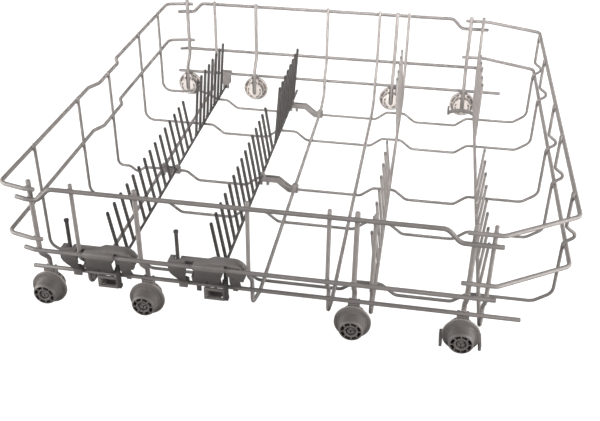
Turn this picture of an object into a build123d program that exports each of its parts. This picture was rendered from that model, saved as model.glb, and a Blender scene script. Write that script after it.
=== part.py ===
from build123d import *
import os
from math import atan, cos, degrees, radians, tan

# Lower basket of a dishwasher, in millimetres
# +X is the front of the basket, +Y its right side, +Z up, the ground is at z = 0

os.makedirs("parts", exist_ok=True)

# Wire diameters
rail_d = 4.0
bottom_rail_d = 3.8
wheel_wire_d = 4.4
cross_wire_d = 3.6
floor_wire_d = 3.0
rod_d = 3.0
folding_tine_d = 2.6
fixed_tine_d = 2.8
wire_sides = 6
mitre_turn = 47.0
chord_turn = 40.0
small_sides = 10

# Side rails
side_rail_y = 260.0
bottom_rail_y = 245.6
top_rail_z = 134.0
mid_rail_z = 67.0
bottom_rail_z = 38.0
rail_drop = 12.5
rail_rear_x = -240.5
rail_front_x = 188.3
bottom_rail_rear_x = -241.0
bottom_rail_front_x = 213.5
rear_joggle_x = -212.0
front_joggle_x = 147.0
joggle_length = 12.0
tuck_x = -228.5
tuck_angle = 16.0
joggle_bend = 7.0

# End rails
end_rail_drop = 1.5
rear_mid_rail_z = 79.8
front_mid_rail_z = 81.5
rear_rail_x = -255.0
rear_rail_end_x = -218.8
rear_slant_x = -229.5
rear_corner_y = 253.5
recess_depth = 7.2
recess_left_y = -34.0
recess_right_y = 40.0
recess_ramp = 14.0
front_rail_x = 250.3
front_rail_end_x = 157.0
front_slant_x = 187.0
front_left_corner_y = 218.0
front_right_corner_y = 232.0
end_rail_bend = 7.0

# Uprights
wheel_wire_xs = [-226.1, -128.2, 66.7, 164.3]
cross_wire_xs = [-186.8, -27.7, 43.1, 82.3, 180.0]
low_cross_wires = [2, 3]
upright_overhang = 5.5
jog_below_mid_rail = 6.0
jog_above_bottom_rail = 8.0
jog_bend = 6.0
cross_corner_bend = 8.0
cross_slope_y = 210.0
cross_slope_bend = 14.0

# Floor wires
floor_wire_ys = [-187.7, -78.4, -5.4, 121.8, 201.4]
recessed_floor_wire = 3
raised_floor_wire = 5
floor_z = 17.2
floor_dip = 11.2
dip_spans = [(-159.0, -72.0), (-48.0, 63.5), (88.0, 170.0)]
dip_ramp = 14.0
dip_bend = 9.0
rear_floor_bend = 12.0
recess_floor_bend = 9.6
notch_x = -220.5
notch_half = 9.5
notch_depth = 7.2
notch_bend = 5.0
shelf_z = 25.0
shelf_x = -222.0
shelf_crest_x = -205.0
shelf_crest_z = 29.8
shelf_end_x = -173.5
shelf_end_bend = 4.5
front_foot_x = 230.0
front_foot_z = 29.0
front_foot_bend = 10.0
kink_above_rail = 4.0
kink_half = 8.5
kink_reach = 11.7
kink_bend = 4.0
floor_wire_overhang = 6.0

# Folding tine rows
rod_xs = {"rear": -170.6, "middle": -67.2}
rod_gap = 0.3
rod_near_inset = 6.0
rod_far_insets = {"rear": 2.2, "middle": 0.1}
tine_first_y = -201.0
tine_pitch = 18.7
short_tines = 15
tall_tines = 8
short_tine_top_z = 76.5
short_tine_lean = -8.5
tall_tine_top_z = 97.0
tall_tine_lean = 4.3
running_clearance = 0.06

# Fixed tine rows
fixed_near_first_y = -185.0
fixed_near_pitch = 26.8
fixed_near_count = 8
fixed_far_first_y = 129.0
fixed_far_pitch = 23.9
fixed_far_count = 5
fixed_near_top_z = 76.0
fixed_far_top_z = 100.0
fixed_leans = {"middle": (-7.3, -3.8), "front": (3.5, 0.3)}
fixed_cross_wires = {"middle": 4, "front": 5}

# Wheels, lengths measured outwards along the axle from the hub's inner face
axle_z = 17.0
wheel_y = 247.0
flange_r = 17.0
wheel_sides = 28
flange_inner = 0.5
flange_outer = 4.5
drum_r = 12.2
nose_r = 11.3
nose_start = 14.6
rim_r = 9.9
wheel_width = 16.4
hook_recess_r = 4.8
hook_seat = 13.0
slot_count = 8
slot_outer_r = 9.4
slot_inner_r = 6.5
slot_width = 3.2
slot_depth = 8.0
axle_r = 3.0
axle_clearance = 0.05

# Wheel holders, lengths measured outwards along the axle from the inner face
holder_r = 11.5
holder_sides = 16
holder_y = 238.0
holder_depth = 8.5
holder_neck_width = 10.5
holder_rail_gap = 0.3
wheel_wire_end_z = 12.0
seat_clearance = 0.1
neck_hole_width = 2.2
neck_hole_height = 3.4
neck_hole_z = 29.5
hook_play = 0.2
hook_r = 3.9
hook_taper = 20.0
hook_length = 2.0
axle_slit = 0.9
axle_slit_depth = 6.0
guard_half = 17.4
guard_crown_z = 12.4
guard_end_z = 7.6
guard_height = 4.4
guard_inset = 2.0
guard_depth = 3.0
guard_tab_width = 2.6
guard_tab_height = 6.0
guard_tab_reach = 18.0

# Fold brackets, lengths along X measured from the rod
bracket_face_gap = 0.1
bracket_depth = 10.9
bar_rear_u = -35.0
bar_below_rail = 8.5
bar_above_rail = 2.0
hump_start_u = 0.5
hump_rise_u = 6.5
hump_end_u = 24.0
hump_above_rail = 5.0
hump_foot_u = 36.5
hump_foot_below_rail = 4.0
hump_roof = 2.0
hump_hole_u = 30.5
hump_hole_r = 1.2
hump_hole_depth = 5.0
wire_notch_u = -15.4
wire_notch_width = 8.0
wire_notch_below_bar = 4.5
wire_notch_back = 0.3
jog_relief_depth = 7.9
jog_relief_height = 3.6
lip_rear_u = -10.6
lip_front_u = 18.0
lip_wall = 1.3
lip_below_rail = 1.0
lip_run = 7.0
trough_wall = 2.0
trough_inset = 1.6
trough_rear_u = -14.0
trough_front_u = 13.2
trough_rib = 1.6
slit_us = [-0.7, 11.6]
slit_width = 1.2
slit_height = 8.0
cheek_corner_u = -33.7
cheek_corner_drop = 3.6
cheek_foot_u = -28.4
cheek_foot_drop = 11.0
gap_rear_u = -20.5
saddle_wall = 2.0
saddle_below_rail = 3.0
saddle_rise = 7.0
seat_wall = 1.8
snap_rear_u = -13.5
snap_width = 4.2
snap_length = 10.0
side_hook_rear_u = 21.5
side_hook_front_u = 26.0
side_hook_length = 5.6
side_plate_front_u = 31.0
side_plate_lift = 3.2
tongue_rear_u = 26.4
tongue_front_u = 35.0
tongue_drop = 4.1
tongue_depth = 5.0
ring_rear_u = -4.8
ring_wall = 2.7
post_width = 1.6
post_rise = 8.0
ring_depth = 2.4
ring_rail_gap = 0.3
ring_top_drop = 1.0
ring_top_height = 2.4
ring_bottom_rise = 4.1
ring_bottom_height = 2.2
bearing_depth = 2.4
bearing_half = 4.6
bearing_above_rod = 5.5
bearing_below_rod = 1.1

# Release levers
lever_inset = 7.5
lever_drop = 2.0
lever_shaft_r = 2.2
lever_shaft_rear_u = -33.0
peg_u = -27.4
peg_r = 1.8
peg_height = 33.0
peg_head_r = 2.4
peg_head = 2.2
peg_slot_clearance = 0.8
finger_width = 3.4
finger_depth = 3.2
finger_slot_clearance = 0.6
finger_gap = 0.4
finger_foot_above_rod = 6.0
finger_foot = 3.2
finger_foot_reach = 5.0

# Lock cranks
crank_depth = 2.8
crank_gap = 0.8
crank_hub_r = 2.2
crank_corners = [(3.0, 9.0), (9.5, 8.5), (10.0, 3.5)]
crank_corner_r = 1.3

# Rod clips
clip_half = 2.9
clip_wall = 1.9
centre_clip_wire = 3
right_clip_wire = 5
clip_overhang = 3.6
end_clip_width = 15.0
end_clip_foot_width = 8.4
end_clip_depth = 3.1
end_clip_shoulder = 6.5
end_clip_wall = 2.0
end_clip_hook_drop = 2.5

# Places that follow from the sizes above
cross_top_y = side_rail_y - (rail_d + cross_wire_d) / 2
cross_low_y = bottom_rail_y - (bottom_rail_d + cross_wire_d) / 2
wheel_wire_top_y = side_rail_y - (rail_d + wheel_wire_d) / 2
wheel_wire_low_y = bottom_rail_y - (bottom_rail_d + wheel_wire_d) / 2
cross_z = floor_z + (floor_wire_d + cross_wire_d) / 2
low_cross_z = cross_z - floor_dip
rear_wire_x = rear_rail_x + (rail_d + floor_wire_d) / 2
front_wire_x = front_rail_x - (rail_d + floor_wire_d) / 2
rod_z = floor_z + (floor_wire_d + rod_d) / 2 + rod_gap
rod_near_y = rod_near_inset - bottom_rail_y
corner_factor = 1 / cos(radians(180 / wire_sides))
end_top_rail_z = top_rail_z - end_rail_drop
upright_top_z = top_rail_z + upright_overhang
floor_wire_top_z = end_top_rail_z + floor_wire_overhang
kink_low_z = front_mid_rail_z + kink_above_rail
jog_top_z = mid_rail_z - jog_below_mid_rail
jog_bottom_z = bottom_rail_z + jog_above_bottom_rail


def save(piece, name):
    """Name a finished piece and write it."""
    piece.part.label = name
    export_step(piece.part, f"parts/{name}.step")


def chord_points(route):
    """Points along a bent route: the ends of its runs, and of the chords that follow each bend."""
    points = [route @ 0]
    for edge in route.order_edges():
        chords = 1
        if edge.geom_type == GeomType.CIRCLE:
            chords = max(1, round(degrees(edge.length / edge.radius) / chord_turn))
        points += [edge @ (i / chords) for i in range(1, chords + 1)]
    return points


def wire(points, diameter, bends, across):
    """A wire through the points, bent at sharp corners; across is square to its first run."""
    runs = [Vector(*end) - Vector(*start) for start, end in zip(points, points[1:])]
    turns = [run.get_angle(following) for run, following in zip(runs, runs[1:])]
    radii = [bend if turn > mitre_turn else 0 for bend, turn in zip(bends, turns)]
    route = FilletPolyline(*points, radius=radii, mode=Mode.PRIVATE)
    with BuildPart() as bent:
        with BuildLine():
            Polyline(*chord_points(route))
        with BuildSketch(Plane(origin=points[0], x_dir=across, z_dir=route % 0)):
            RegularPolygon(diameter / 2, wire_sides, major_radius=False)
        sweep(transition=Transition.RIGHT)
    return bent


def leaning_pins(places, diameter, base_z, top_z, lean):
    """A pin at each (x, y), standing on base_z and leaning towards the front."""
    with BuildPart() as pins:
        with BuildSketch(Plane.XY.offset(base_z)):
            with Locations(*places):
                RegularPolygon(diameter / 2, wire_sides, major_radius=False)
        extrude(amount=top_z - base_z, dir=(tan(radians(lean)), 0, 1))
    return pins


# Side rails
def top_rail_points(side):
    """Top rail: the middle is high, both ends drop, the rear end tucks inwards."""
    y = side * side_rail_y
    low_z = top_rail_z - rail_drop
    tucked_y = y - side * (tuck_x - rail_rear_x) * tan(radians(tuck_angle))
    half = joggle_length / 2
    return [
        (rail_rear_x, tucked_y, low_z),
        (tuck_x, y, low_z),
        (rear_joggle_x - half, y, low_z),
        (rear_joggle_x + half, y, top_rail_z),
        (front_joggle_x - half, y, top_rail_z),
        (front_joggle_x + half, y, low_z),
        (rail_front_x, y, low_z),
    ]


def mid_rail_points(side):
    """Middle rail: straight, with the rear end tucked inwards."""
    y = side * side_rail_y
    tucked_y = y - side * (tuck_x - rail_rear_x) * tan(radians(tuck_angle))
    return [(rail_rear_x, tucked_y, mid_rail_z), (tuck_x, y, mid_rail_z), (rail_front_x, y, mid_rail_z)]


def bottom_rail(side):
    """Bottom rail: a straight round rod."""
    with BuildPart() as rail:
        with BuildSketch(Plane.YZ.offset(bottom_rail_rear_x)):
            with Locations((side * bottom_rail_y, bottom_rail_z)):
                Circle(bottom_rail_d / 2)
        extrude(amount=bottom_rail_front_x - bottom_rail_rear_x)
    return rail


for side, side_name in ((-1, "left"), (1, "right")):
    for level, points in (("top", top_rail_points(side)), ("mid", mid_rail_points(side))):
        bends = [joggle_bend] * len(points)
        save(wire(points, rail_d, bends, (0, 0, 1)), f"{side_name}_{level}_rail")
    save(bottom_rail(side), f"{side_name}_bottom_rail")


# End rails
def rear_rail_points(z):
    """Rear rail: a U with slanted cheeks and a recess in the middle."""
    recess_x = rear_rail_x + recess_depth
    half = recess_ramp / 2
    return [
        (rear_rail_end_x, -side_rail_y, z),
        (rear_slant_x, -side_rail_y, z),
        (rear_rail_x, -rear_corner_y, z),
        (rear_rail_x, recess_left_y - half, z),
        (recess_x, recess_left_y + half, z),
        (recess_x, recess_right_y - half, z),
        (rear_rail_x, recess_right_y + half, z),
        (rear_rail_x, rear_corner_y, z),
        (rear_slant_x, side_rail_y, z),
        (rear_rail_end_x, side_rail_y, z),
    ]


def front_rail_points(z):
    """Front rail: a U with cut-off corners, the right one shorter."""
    return [
        (front_rail_end_x, -side_rail_y, z),
        (front_slant_x, -side_rail_y, z),
        (front_rail_x, -front_left_corner_y, z),
        (front_rail_x, front_right_corner_y, z),
        (front_slant_x, side_rail_y, z),
        (front_rail_end_x, side_rail_y, z),
    ]


end_rails = {
    "rear_top_rail": rear_rail_points(end_top_rail_z),
    "rear_mid_rail": rear_rail_points(rear_mid_rail_z),
    "front_top_rail": front_rail_points(end_top_rail_z),
    "front_mid_rail": front_rail_points(front_mid_rail_z),
}
for name, points in end_rails.items():
    bends = [end_rail_bend] * len(points)
    save(wire(points, rail_d, bends, (0, 0, 1)), name)


# Floor wires
def rear_floor_route(number):
    """Corners (x, z) and bends of a floor wire's rear end, from its top down to the first dip."""
    rear_x = rear_wire_x
    if number == recessed_floor_wire:
        rear_x = rear_wire_x + recess_depth
        corners = [
            (rear_x, floor_z),
            (notch_x - notch_half, floor_z),
            (notch_x, floor_z - notch_depth),
            (notch_x + notch_half, floor_z),
        ]
        bends = [recess_floor_bend, notch_bend, notch_bend, notch_bend]
    elif number == raised_floor_wire:
        over_cross_z = cross_z + (cross_wire_d + floor_wire_d) / 2 * corner_factor
        corners = [
            (rear_x, shelf_z),
            (shelf_x, shelf_z),
            (shelf_crest_x, shelf_crest_z),
            (cross_wire_xs[0] + cross_wire_d / 2, over_cross_z),
            (shelf_end_x, floor_z),
        ]
        bends = [rear_floor_bend, dip_bend, dip_bend, shelf_end_bend, shelf_end_bend]
    else:
        corners = [(rear_x, floor_z)]
        bends = [rear_floor_bend]
    return [(rear_x, floor_wire_top_z)] + corners, bends


def floor_wire_route(number):
    """Corners (x, z) and bends of a whole floor wire."""
    corners, bends = rear_floor_route(number)
    for start, end in dip_spans:
        corners += [
            (start, floor_z),
            (start + dip_ramp, floor_z - floor_dip),
            (end - dip_ramp, floor_z - floor_dip),
            (end, floor_z),
        ]
        bends += [dip_bend] * 4
    corners += [
        (front_foot_x, floor_z),
        (front_wire_x, front_foot_z),
        (front_wire_x, kink_low_z),
        (front_wire_x + kink_reach, kink_low_z + kink_half),
        (front_wire_x, kink_low_z + 2 * kink_half),
        (front_wire_x, floor_wire_top_z),
    ]
    bends += [front_foot_bend, front_foot_bend, kink_bend, kink_bend, kink_bend]
    return corners, bends


def floor_wire(number, diameter):
    """A floor wire, or the room for it when the diameter is larger."""
    y = floor_wire_ys[number - 1]
    corners, bends = floor_wire_route(number)
    return wire([(x, y, z) for x, z in corners], diameter, bends, (0, 1, 0))


for number in range(1, len(floor_wire_ys) + 1):
    save(floor_wire(number, floor_wire_d), f"floor_wire_{number}")


# Cross wires and wheel wires
def upright_points(x, side, top_y, low_y):
    """The part of an upright above the floor, from its top to below the jog."""
    return [
        (x, side * top_y, upright_top_z),
        (x, side * top_y, jog_top_z),
        (x, side * low_y, jog_bottom_z),
    ]


def cross_wire(number, diameter):
    """An upright, the run across the floor wires and the other upright."""
    x = cross_wire_xs[number - 1]
    left = upright_points(x, -1, cross_top_y, cross_low_y) + [(x, -cross_low_y, cross_z)]
    bends = [jog_bend, jog_bend, cross_corner_bend]
    if number in low_cross_wires:
        left.append((x, -cross_slope_y, low_cross_z))
        bends.append(cross_slope_bend)
    right = [(px, -py, pz) for px, py, pz in reversed(left)]
    return wire(left + right, diameter, bends + bends[::-1], (1, 0, 0))


def wheel_wire(x, side):
    """An upright that ends inside its wheel's holder."""
    points = upright_points(x, side, wheel_wire_top_y, wheel_wire_low_y)
    points.append((x, side * wheel_wire_low_y, wheel_wire_end_z))
    return wire(points, wheel_wire_d, [jog_bend] * len(points), (1, 0, 0))


for number in range(1, len(cross_wire_xs) + 1):
    save(cross_wire(number, cross_wire_d), f"cross_wire_{number}")
for side, side_name in ((-1, "left"), (1, "right")):
    for number, x in enumerate(wheel_wire_xs, start=1):
        save(wheel_wire(x, side), f"{side_name}_wheel_wire_{number}")


# Fixed tines
for row, (near_lean, far_lean) in fixed_leans.items():
    row_x = cross_wire_xs[fixed_cross_wires[row] - 1]
    base_z = cross_z + cross_wire_d / 2
    near = [(row_x, fixed_near_first_y + fixed_near_pitch * i) for i in range(fixed_near_count)]
    far = [(row_x, fixed_far_first_y + fixed_far_pitch * i) for i in range(fixed_far_count)]
    near_pins = leaning_pins(near, fixed_tine_d, base_z, fixed_near_top_z, near_lean)
    far_pins = leaning_pins(far, fixed_tine_d, base_z, fixed_far_top_z, far_lean)
    with BuildPart() as fixed_tines:
        add(near_pins.part)
        add(far_pins.part)
    save(fixed_tines, f"{row}_fixed_tines")


# Folding tines
for row, rod_x in rod_xs.items():
    base_z = rod_z + rod_d / 2
    places = [(rod_x, tine_first_y + tine_pitch * i) for i in range(short_tines + tall_tines)]
    short_pins = leaning_pins(
        places[:short_tines], folding_tine_d, base_z, short_tine_top_z, short_tine_lean
    )
    tall_pins = leaning_pins(
        places[short_tines:], folding_tine_d, base_z, tall_tine_top_z, tall_tine_lean
    )
    with BuildPart() as folding_tines:
        with BuildSketch(Plane.XZ.offset(-rod_near_y)):
            with Locations((rod_x, rod_z)):
                Circle(rod_d / 2)
        extrude(amount=rod_near_y + rod_far_insets[row] - bottom_rail_y)
        add(short_pins.part)
        add(tall_pins.part)
    save(folding_tines, f"{row}_folding_tines")

    with BuildPart() as lock_crank:
        with BuildSketch(Plane.XZ.offset(-rod_near_y)):
            with Locations((rod_x, rod_z)):
                RegularPolygon(crank_hub_r, small_sides)
            with Locations(*[(rod_x + u, rod_z + rise) for u, rise in crank_corners]):
                RegularPolygon(crank_corner_r, small_sides)
            make_hull()
        extrude(amount=crank_depth)
    save(lock_crank, f"{row}_lock_crank")


# Wheels
def axle_plane(x, side, inner_y):
    """The plane at a wheel's axle, looking outwards, with its y axis up."""
    return Plane(origin=(x, side * inner_y, axle_z), x_dir=(-side, 0, 0), z_dir=(0, side, 0))


def taper_angle(narrowing, length):
    """The draft of a side that narrows over a length."""
    return degrees(atan(narrowing / length))


with BuildPart() as wheel_form:
    with BuildSketch(Plane.XY.offset(flange_inner)):
        RegularPolygon(flange_r, wheel_sides)
    extrude(amount=flange_outer - flange_inner)
    with BuildSketch(Plane.XY.offset(flange_outer)):
        RegularPolygon(drum_r, wheel_sides, major_radius=False)
    extrude(amount=nose_start - flange_outer, taper=taper_angle(drum_r - nose_r, nose_start - flange_outer))
    with BuildSketch(Plane.XY.offset(nose_start)):
        RegularPolygon(nose_r, wheel_sides, major_radius=False)
    extrude(amount=wheel_width - nose_start, taper=taper_angle(nose_r - rim_r, wheel_width - nose_start))
    with BuildSketch(Plane.XY.offset(wheel_width)):
        with PolarLocations((slot_inner_r + slot_outer_r) / 2, slot_count):
            Rectangle(slot_outer_r - slot_inner_r, slot_width)
    extrude(amount=-slot_depth, mode=Mode.SUBTRACT)
    with BuildSketch(Plane.XY.offset(wheel_width)):
        RegularPolygon(hook_recess_r, small_sides)
    extrude(amount=hook_seat - wheel_width, mode=Mode.SUBTRACT)
    with BuildSketch():
        RegularPolygon(axle_r + axle_clearance, small_sides, major_radius=False)
    extrude(amount=wheel_width, mode=Mode.SUBTRACT)

# Wheel holders
wire_seat = wheel_wire_low_y + wheel_wire_d / 2 + seat_clearance - holder_y
wire_room = wheel_wire_d * corner_factor + 2 * seat_clearance
neck_top = bottom_rail_z - bottom_rail_d / 2 - holder_rail_gap - axle_z
seat_low = wheel_wire_end_z - seat_clearance - axle_z
hook_start = wheel_y + hook_seat + hook_play - holder_y
with BuildPart() as holder_form:
    with BuildSketch():
        RegularPolygon(holder_r, holder_sides, major_radius=False)
        with Locations((0, neck_top / 2)):
            Rectangle(holder_neck_width, neck_top)
    extrude(amount=holder_depth)
    with BuildSketch():
        with Locations((0, seat_low)):
            Rectangle(wire_room, neck_top - seat_low, align=(Align.CENTER, Align.MIN))
    extrude(amount=wire_seat, mode=Mode.SUBTRACT)
    with BuildSketch():
        with Locations((0, neck_hole_z - axle_z)):
            with GridLocations(wire_room + neck_hole_width + 2 * seat_clearance, 0, 2, 1):
                Rectangle(neck_hole_width, neck_hole_height)
    extrude(amount=holder_depth, mode=Mode.SUBTRACT)
    with BuildSketch(Plane.XY.offset(holder_depth)):
        RegularPolygon(axle_r, small_sides)
    extrude(amount=hook_start - holder_depth)
    with BuildSketch(Plane.XY.offset(hook_start)):
        RegularPolygon(hook_r, small_sides)
    extrude(amount=hook_length, taper=hook_taper)
    with BuildSketch(Plane.XY.offset(hook_start + hook_length)):
        with PolarLocations(0, 3, start_angle=90):
            Rectangle(hook_r + axle_slit, axle_slit, align=(Align.MIN, Align.CENTER))
    extrude(amount=-axle_slit_depth, mode=Mode.SUBTRACT)

with BuildPart() as guarded_holder_form:
    add(holder_form.part)
    with BuildSketch(Plane.XY.offset(-guard_inset)):
        with BuildLine():
            ThreePointArc(
                (-guard_half, guard_end_z - axle_z),
                (0, guard_crown_z - axle_z),
                (guard_half, guard_end_z - axle_z),
            )
        trace(line_width=guard_height)
    extrude(amount=guard_depth)
    with BuildSketch(Plane.XY.offset(-guard_inset)):
        with Locations((0, guard_end_z - axle_z)):
            with GridLocations(2 * guard_half, 0, 2, 1):
                Rectangle(guard_tab_width, guard_tab_height)
    extrude(amount=guard_tab_reach)

for side, side_name in ((-1, "left"), (1, "right")):
    for number, x in enumerate(wheel_wire_xs, start=1):
        with BuildPart() as wheel:
            with Locations(axle_plane(x, side, wheel_y)):
                add(wheel_form.part)
        save(wheel, f"{side_name}_wheel_{number}")
        form = guarded_holder_form if number == len(wheel_wire_xs) else holder_form
        with BuildPart() as wheel_holder:
            with Locations(axle_plane(x, side, holder_y)):
                add(form.part)
        save(wheel_holder, f"{side_name}_wheel_holder_{number}")


# Fold brackets
def span(low, high):
    """A rectangle from its low corner to its high corner."""
    with BuildSketch() as area:
        with Locations(low):
            Rectangle(high[0] - low[0], high[1] - low[1], align=(Align.MIN, Align.MIN))
    return area.sketch


bracket_outer_y = -(side_rail_y - rail_d / 2 - bracket_face_gap)
bracket_inner_y = bracket_outer_y + bracket_depth
bar_bottom_z = mid_rail_z - bar_below_rail
bar_top_z = mid_rail_z + bar_above_rail
hump_top_z = mid_rail_z + hump_above_rail
rail_inner_y = -(bottom_rail_y - bottom_rail_d / 2 - seat_clearance)
rail_outer_y = -(bottom_rail_y + bottom_rail_d / 2 + seat_clearance)
rail_top = bottom_rail_z + bottom_rail_d / 2 + seat_clearance
rail_bottom = bottom_rail_z - bottom_rail_d / 2
seat_top = rail_top + seat_wall
lever_y = bracket_outer_y + lever_inset
lever_z = mid_rail_z - lever_drop
finger_rear_u = trough_front_u + post_width + finger_gap
finger_front_u = finger_rear_u + finger_width
finger_outer_y = lever_y - finger_depth / 2
finger_inner_y = lever_y + finger_depth / 2
finger_foot_z = rod_z + finger_foot_above_rod
outer_plane = Plane.XZ.offset(-bracket_outer_y)
jog_plane = Plane.XZ.offset(cross_top_y - cross_wire_d / 2 * corner_factor - wire_notch_back)


def along_x(rear_u, front_u, *spans):
    """Rectangles (low corner, high corner) in Y and Z, joined and drawn out along X."""
    with BuildPart() as block:
        with BuildSketch(Plane.YZ.offset(rear_u)):
            for low, high in spans:
                add(span(low, high))
        extrude(amount=front_u - rear_u)
    return block.part


def trough(rear_u, front_u):
    """A curved plate from the bar down and inwards to the bottom rail."""
    with BuildPart() as plate:
        with BuildSketch(Plane.YZ.offset(rear_u)):
            with BuildLine():
                TangentArc(
                    (bracket_outer_y + trough_inset, bar_bottom_z + trough_wall),
                    (rail_outer_y, seat_top - trough_wall / 2),
                    tangent=(0, -1),
                )
            trace(line_width=trough_wall)
        extrude(amount=front_u - rear_u)
    return plate.part


with BuildPart() as bracket_form:
    # Top bar that runs into the rounded hump
    with BuildSketch(outer_plane):
        with BuildLine():
            Polyline(
                (hump_foot_u, mid_rail_z - hump_foot_below_rail),
                (hump_foot_u, bar_bottom_z),
                (bar_rear_u, bar_bottom_z),
                (bar_rear_u, bar_top_z),
                (hump_start_u, bar_top_z),
                (hump_rise_u, hump_top_z),
                (hump_end_u, hump_top_z),
            )
            TangentArc(
                (hump_end_u, hump_top_z), (hump_foot_u, mid_rail_z - hump_foot_below_rail), tangent=(1, 0)
            )
        make_face()
    extrude(amount=-bracket_depth)
    # Curved body, cut back to a slanted cheek at the rear
    add(trough(bar_rear_u, trough_front_u))
    with BuildSketch(outer_plane):
        with BuildLine():
            Polyline(
                (bar_rear_u, bar_bottom_z),
                (cheek_corner_u, bar_bottom_z - cheek_corner_drop),
                (cheek_foot_u, bar_bottom_z - cheek_foot_drop),
                (cheek_foot_u, rail_bottom),
                (bar_rear_u, rail_bottom),
                close=True,
            )
        make_face()
        add(span((gap_rear_u, rail_bottom), (trough_rear_u, bar_bottom_z - wire_notch_below_bar)))
        for slit_u in slit_us:
            with Locations((slit_u, rail_bottom)):
                Rectangle(slit_width, rail_top - rail_bottom + slit_height, align=(Align.CENTER, Align.MIN))
    extrude(amount=-(rail_inner_y - bracket_outer_y), mode=Mode.SUBTRACT)
    # Rib that closes the body's rear end
    with BuildSketch(Plane.YZ.offset(trough_rear_u)):
        with BuildLine():
            rib_arc = TangentArc(
                (bracket_outer_y + trough_inset, bar_bottom_z),
                (rail_outer_y, seat_top),
                tangent=(0, -1),
            )
            Polyline(rib_arc @ 1, (rail_outer_y, bar_bottom_z), rib_arc @ 0)
        make_face()
    extrude(amount=trough_rib)
    # Notch for an upright and relief for its jog
    notch_low = (wire_notch_u - wire_notch_width / 2, bar_bottom_z - wire_notch_below_bar)
    notch_high = (wire_notch_u + wire_notch_width / 2, hump_top_z)
    with BuildSketch(jog_plane):
        add(span(notch_low, notch_high))
    extrude(amount=bracket_depth, mode=Mode.SUBTRACT)
    with BuildSketch(outer_plane):
        add(span(notch_low, (notch_high[0], bar_bottom_z + jog_relief_height)))
    extrude(amount=-jog_relief_depth, mode=Mode.SUBTRACT)
    # Lip over the middle rail
    with BuildSketch(Plane.YZ.offset(lip_rear_u)):
        lip_inner_y = -(side_rail_y + rail_d / 2 + seat_clearance)
        lip_arm_z = mid_rail_z + rail_d / 2 * corner_factor + seat_clearance
        with BuildLine():
            Polyline(
                (lip_inner_y - lip_wall, mid_rail_z - lip_below_rail),
                (lip_inner_y - lip_wall, lip_arm_z + lip_wall / 2),
                (lip_inner_y - lip_wall / 2, lip_arm_z + lip_wall),
                (bracket_outer_y, lip_arm_z + lip_wall),
                (bracket_outer_y + lip_run, bar_top_z),
                (bracket_outer_y + lip_run, bar_bottom_z),
                (bracket_outer_y, bar_bottom_z),
                (bracket_outer_y, lip_arm_z),
                (lip_inner_y, lip_arm_z),
                (lip_inner_y, mid_rail_z - lip_below_rail),
                close=True,
            )
        make_face()
    extrude(amount=lip_front_u - lip_rear_u)
    # Pocket that the lever's finger hangs through, and a blind hole in the hump
    pocket_low = (finger_rear_u - finger_slot_clearance, bar_bottom_z)
    pocket_high = (finger_front_u + finger_slot_clearance, hump_top_z - hump_roof)
    with BuildSketch(outer_plane):
        add(span(pocket_low, pocket_high))
    extrude(amount=-(finger_inner_y + finger_slot_clearance - bracket_outer_y), mode=Mode.SUBTRACT)
    with BuildSketch(outer_plane):
        with Locations((hump_hole_u, mid_rail_z)):
            RegularPolygon(hump_hole_r, small_sides)
    extrude(amount=-hump_hole_depth, mode=Mode.SUBTRACT)
    # Bearing for the lever's shaft, open on the inner side, and slot for its peg
    bearing_r = lever_shaft_r + running_clearance
    bearing_low = (lever_y - bearing_r, lever_z - bearing_r)
    bearing_high = (bracket_inner_y, lever_z + bearing_r)
    add(along_x(bar_rear_u, pocket_high[0], (bearing_low, bearing_high)), mode=Mode.SUBTRACT)
    with BuildSketch(Plane.XY.offset(lever_z)):
        with Locations((peg_u, lever_y - peg_r - peg_slot_clearance)):
            Rectangle(2 * (peg_r + peg_slot_clearance), bracket_depth, align=(Align.CENTER, Align.MIN))
    extrude(amount=hump_top_z - lever_z, mode=Mode.SUBTRACT)
    # Saddle that grips the bottom rail
    saddle_bottom = bottom_rail_z - saddle_below_rail
    saddle_front = (rail_outer_y - saddle_wall, saddle_bottom)
    add(
        along_x(
            cheek_foot_u,
            gap_rear_u,
            (saddle_front, (rail_outer_y, rail_top + saddle_rise)),
            ((rail_outer_y, rail_top), (rail_inner_y + saddle_wall, seat_top)),
            ((rail_inner_y, saddle_bottom), (rail_inner_y + saddle_wall, rail_top)),
        )
    )
    # Snap arm behind the bottom rail
    add(
        along_x(
            snap_rear_u,
            snap_rear_u + snap_width,
            ((rail_outer_y, rail_top), (rail_inner_y + saddle_wall, seat_top)),
            ((rail_inner_y, bottom_rail_z - snap_length), (rail_inner_y + saddle_wall, rail_top)),
        )
    )
    # Plate, hook and tongue on the far side of the finger
    add(trough(side_hook_rear_u, side_plate_front_u))
    side_cut_high = (side_plate_front_u, rail_top + side_plate_lift)
    with BuildSketch(outer_plane):
        add(span((side_hook_front_u, rail_bottom), side_cut_high))
    extrude(amount=-(rail_inner_y - bracket_outer_y), mode=Mode.SUBTRACT)
    add(
        along_x(
            side_hook_rear_u,
            side_hook_front_u,
            ((rail_outer_y, rail_top), (rail_inner_y + saddle_wall, seat_top)),
            ((rail_inner_y, bottom_rail_z - side_hook_length), (rail_inner_y + saddle_wall, rail_top)),
        )
    )
    with BuildSketch(outer_plane):
        add(span((tongue_rear_u, bar_bottom_z - tongue_drop), (tongue_front_u, bar_bottom_z)))
    extrude(amount=-tongue_depth)
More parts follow.
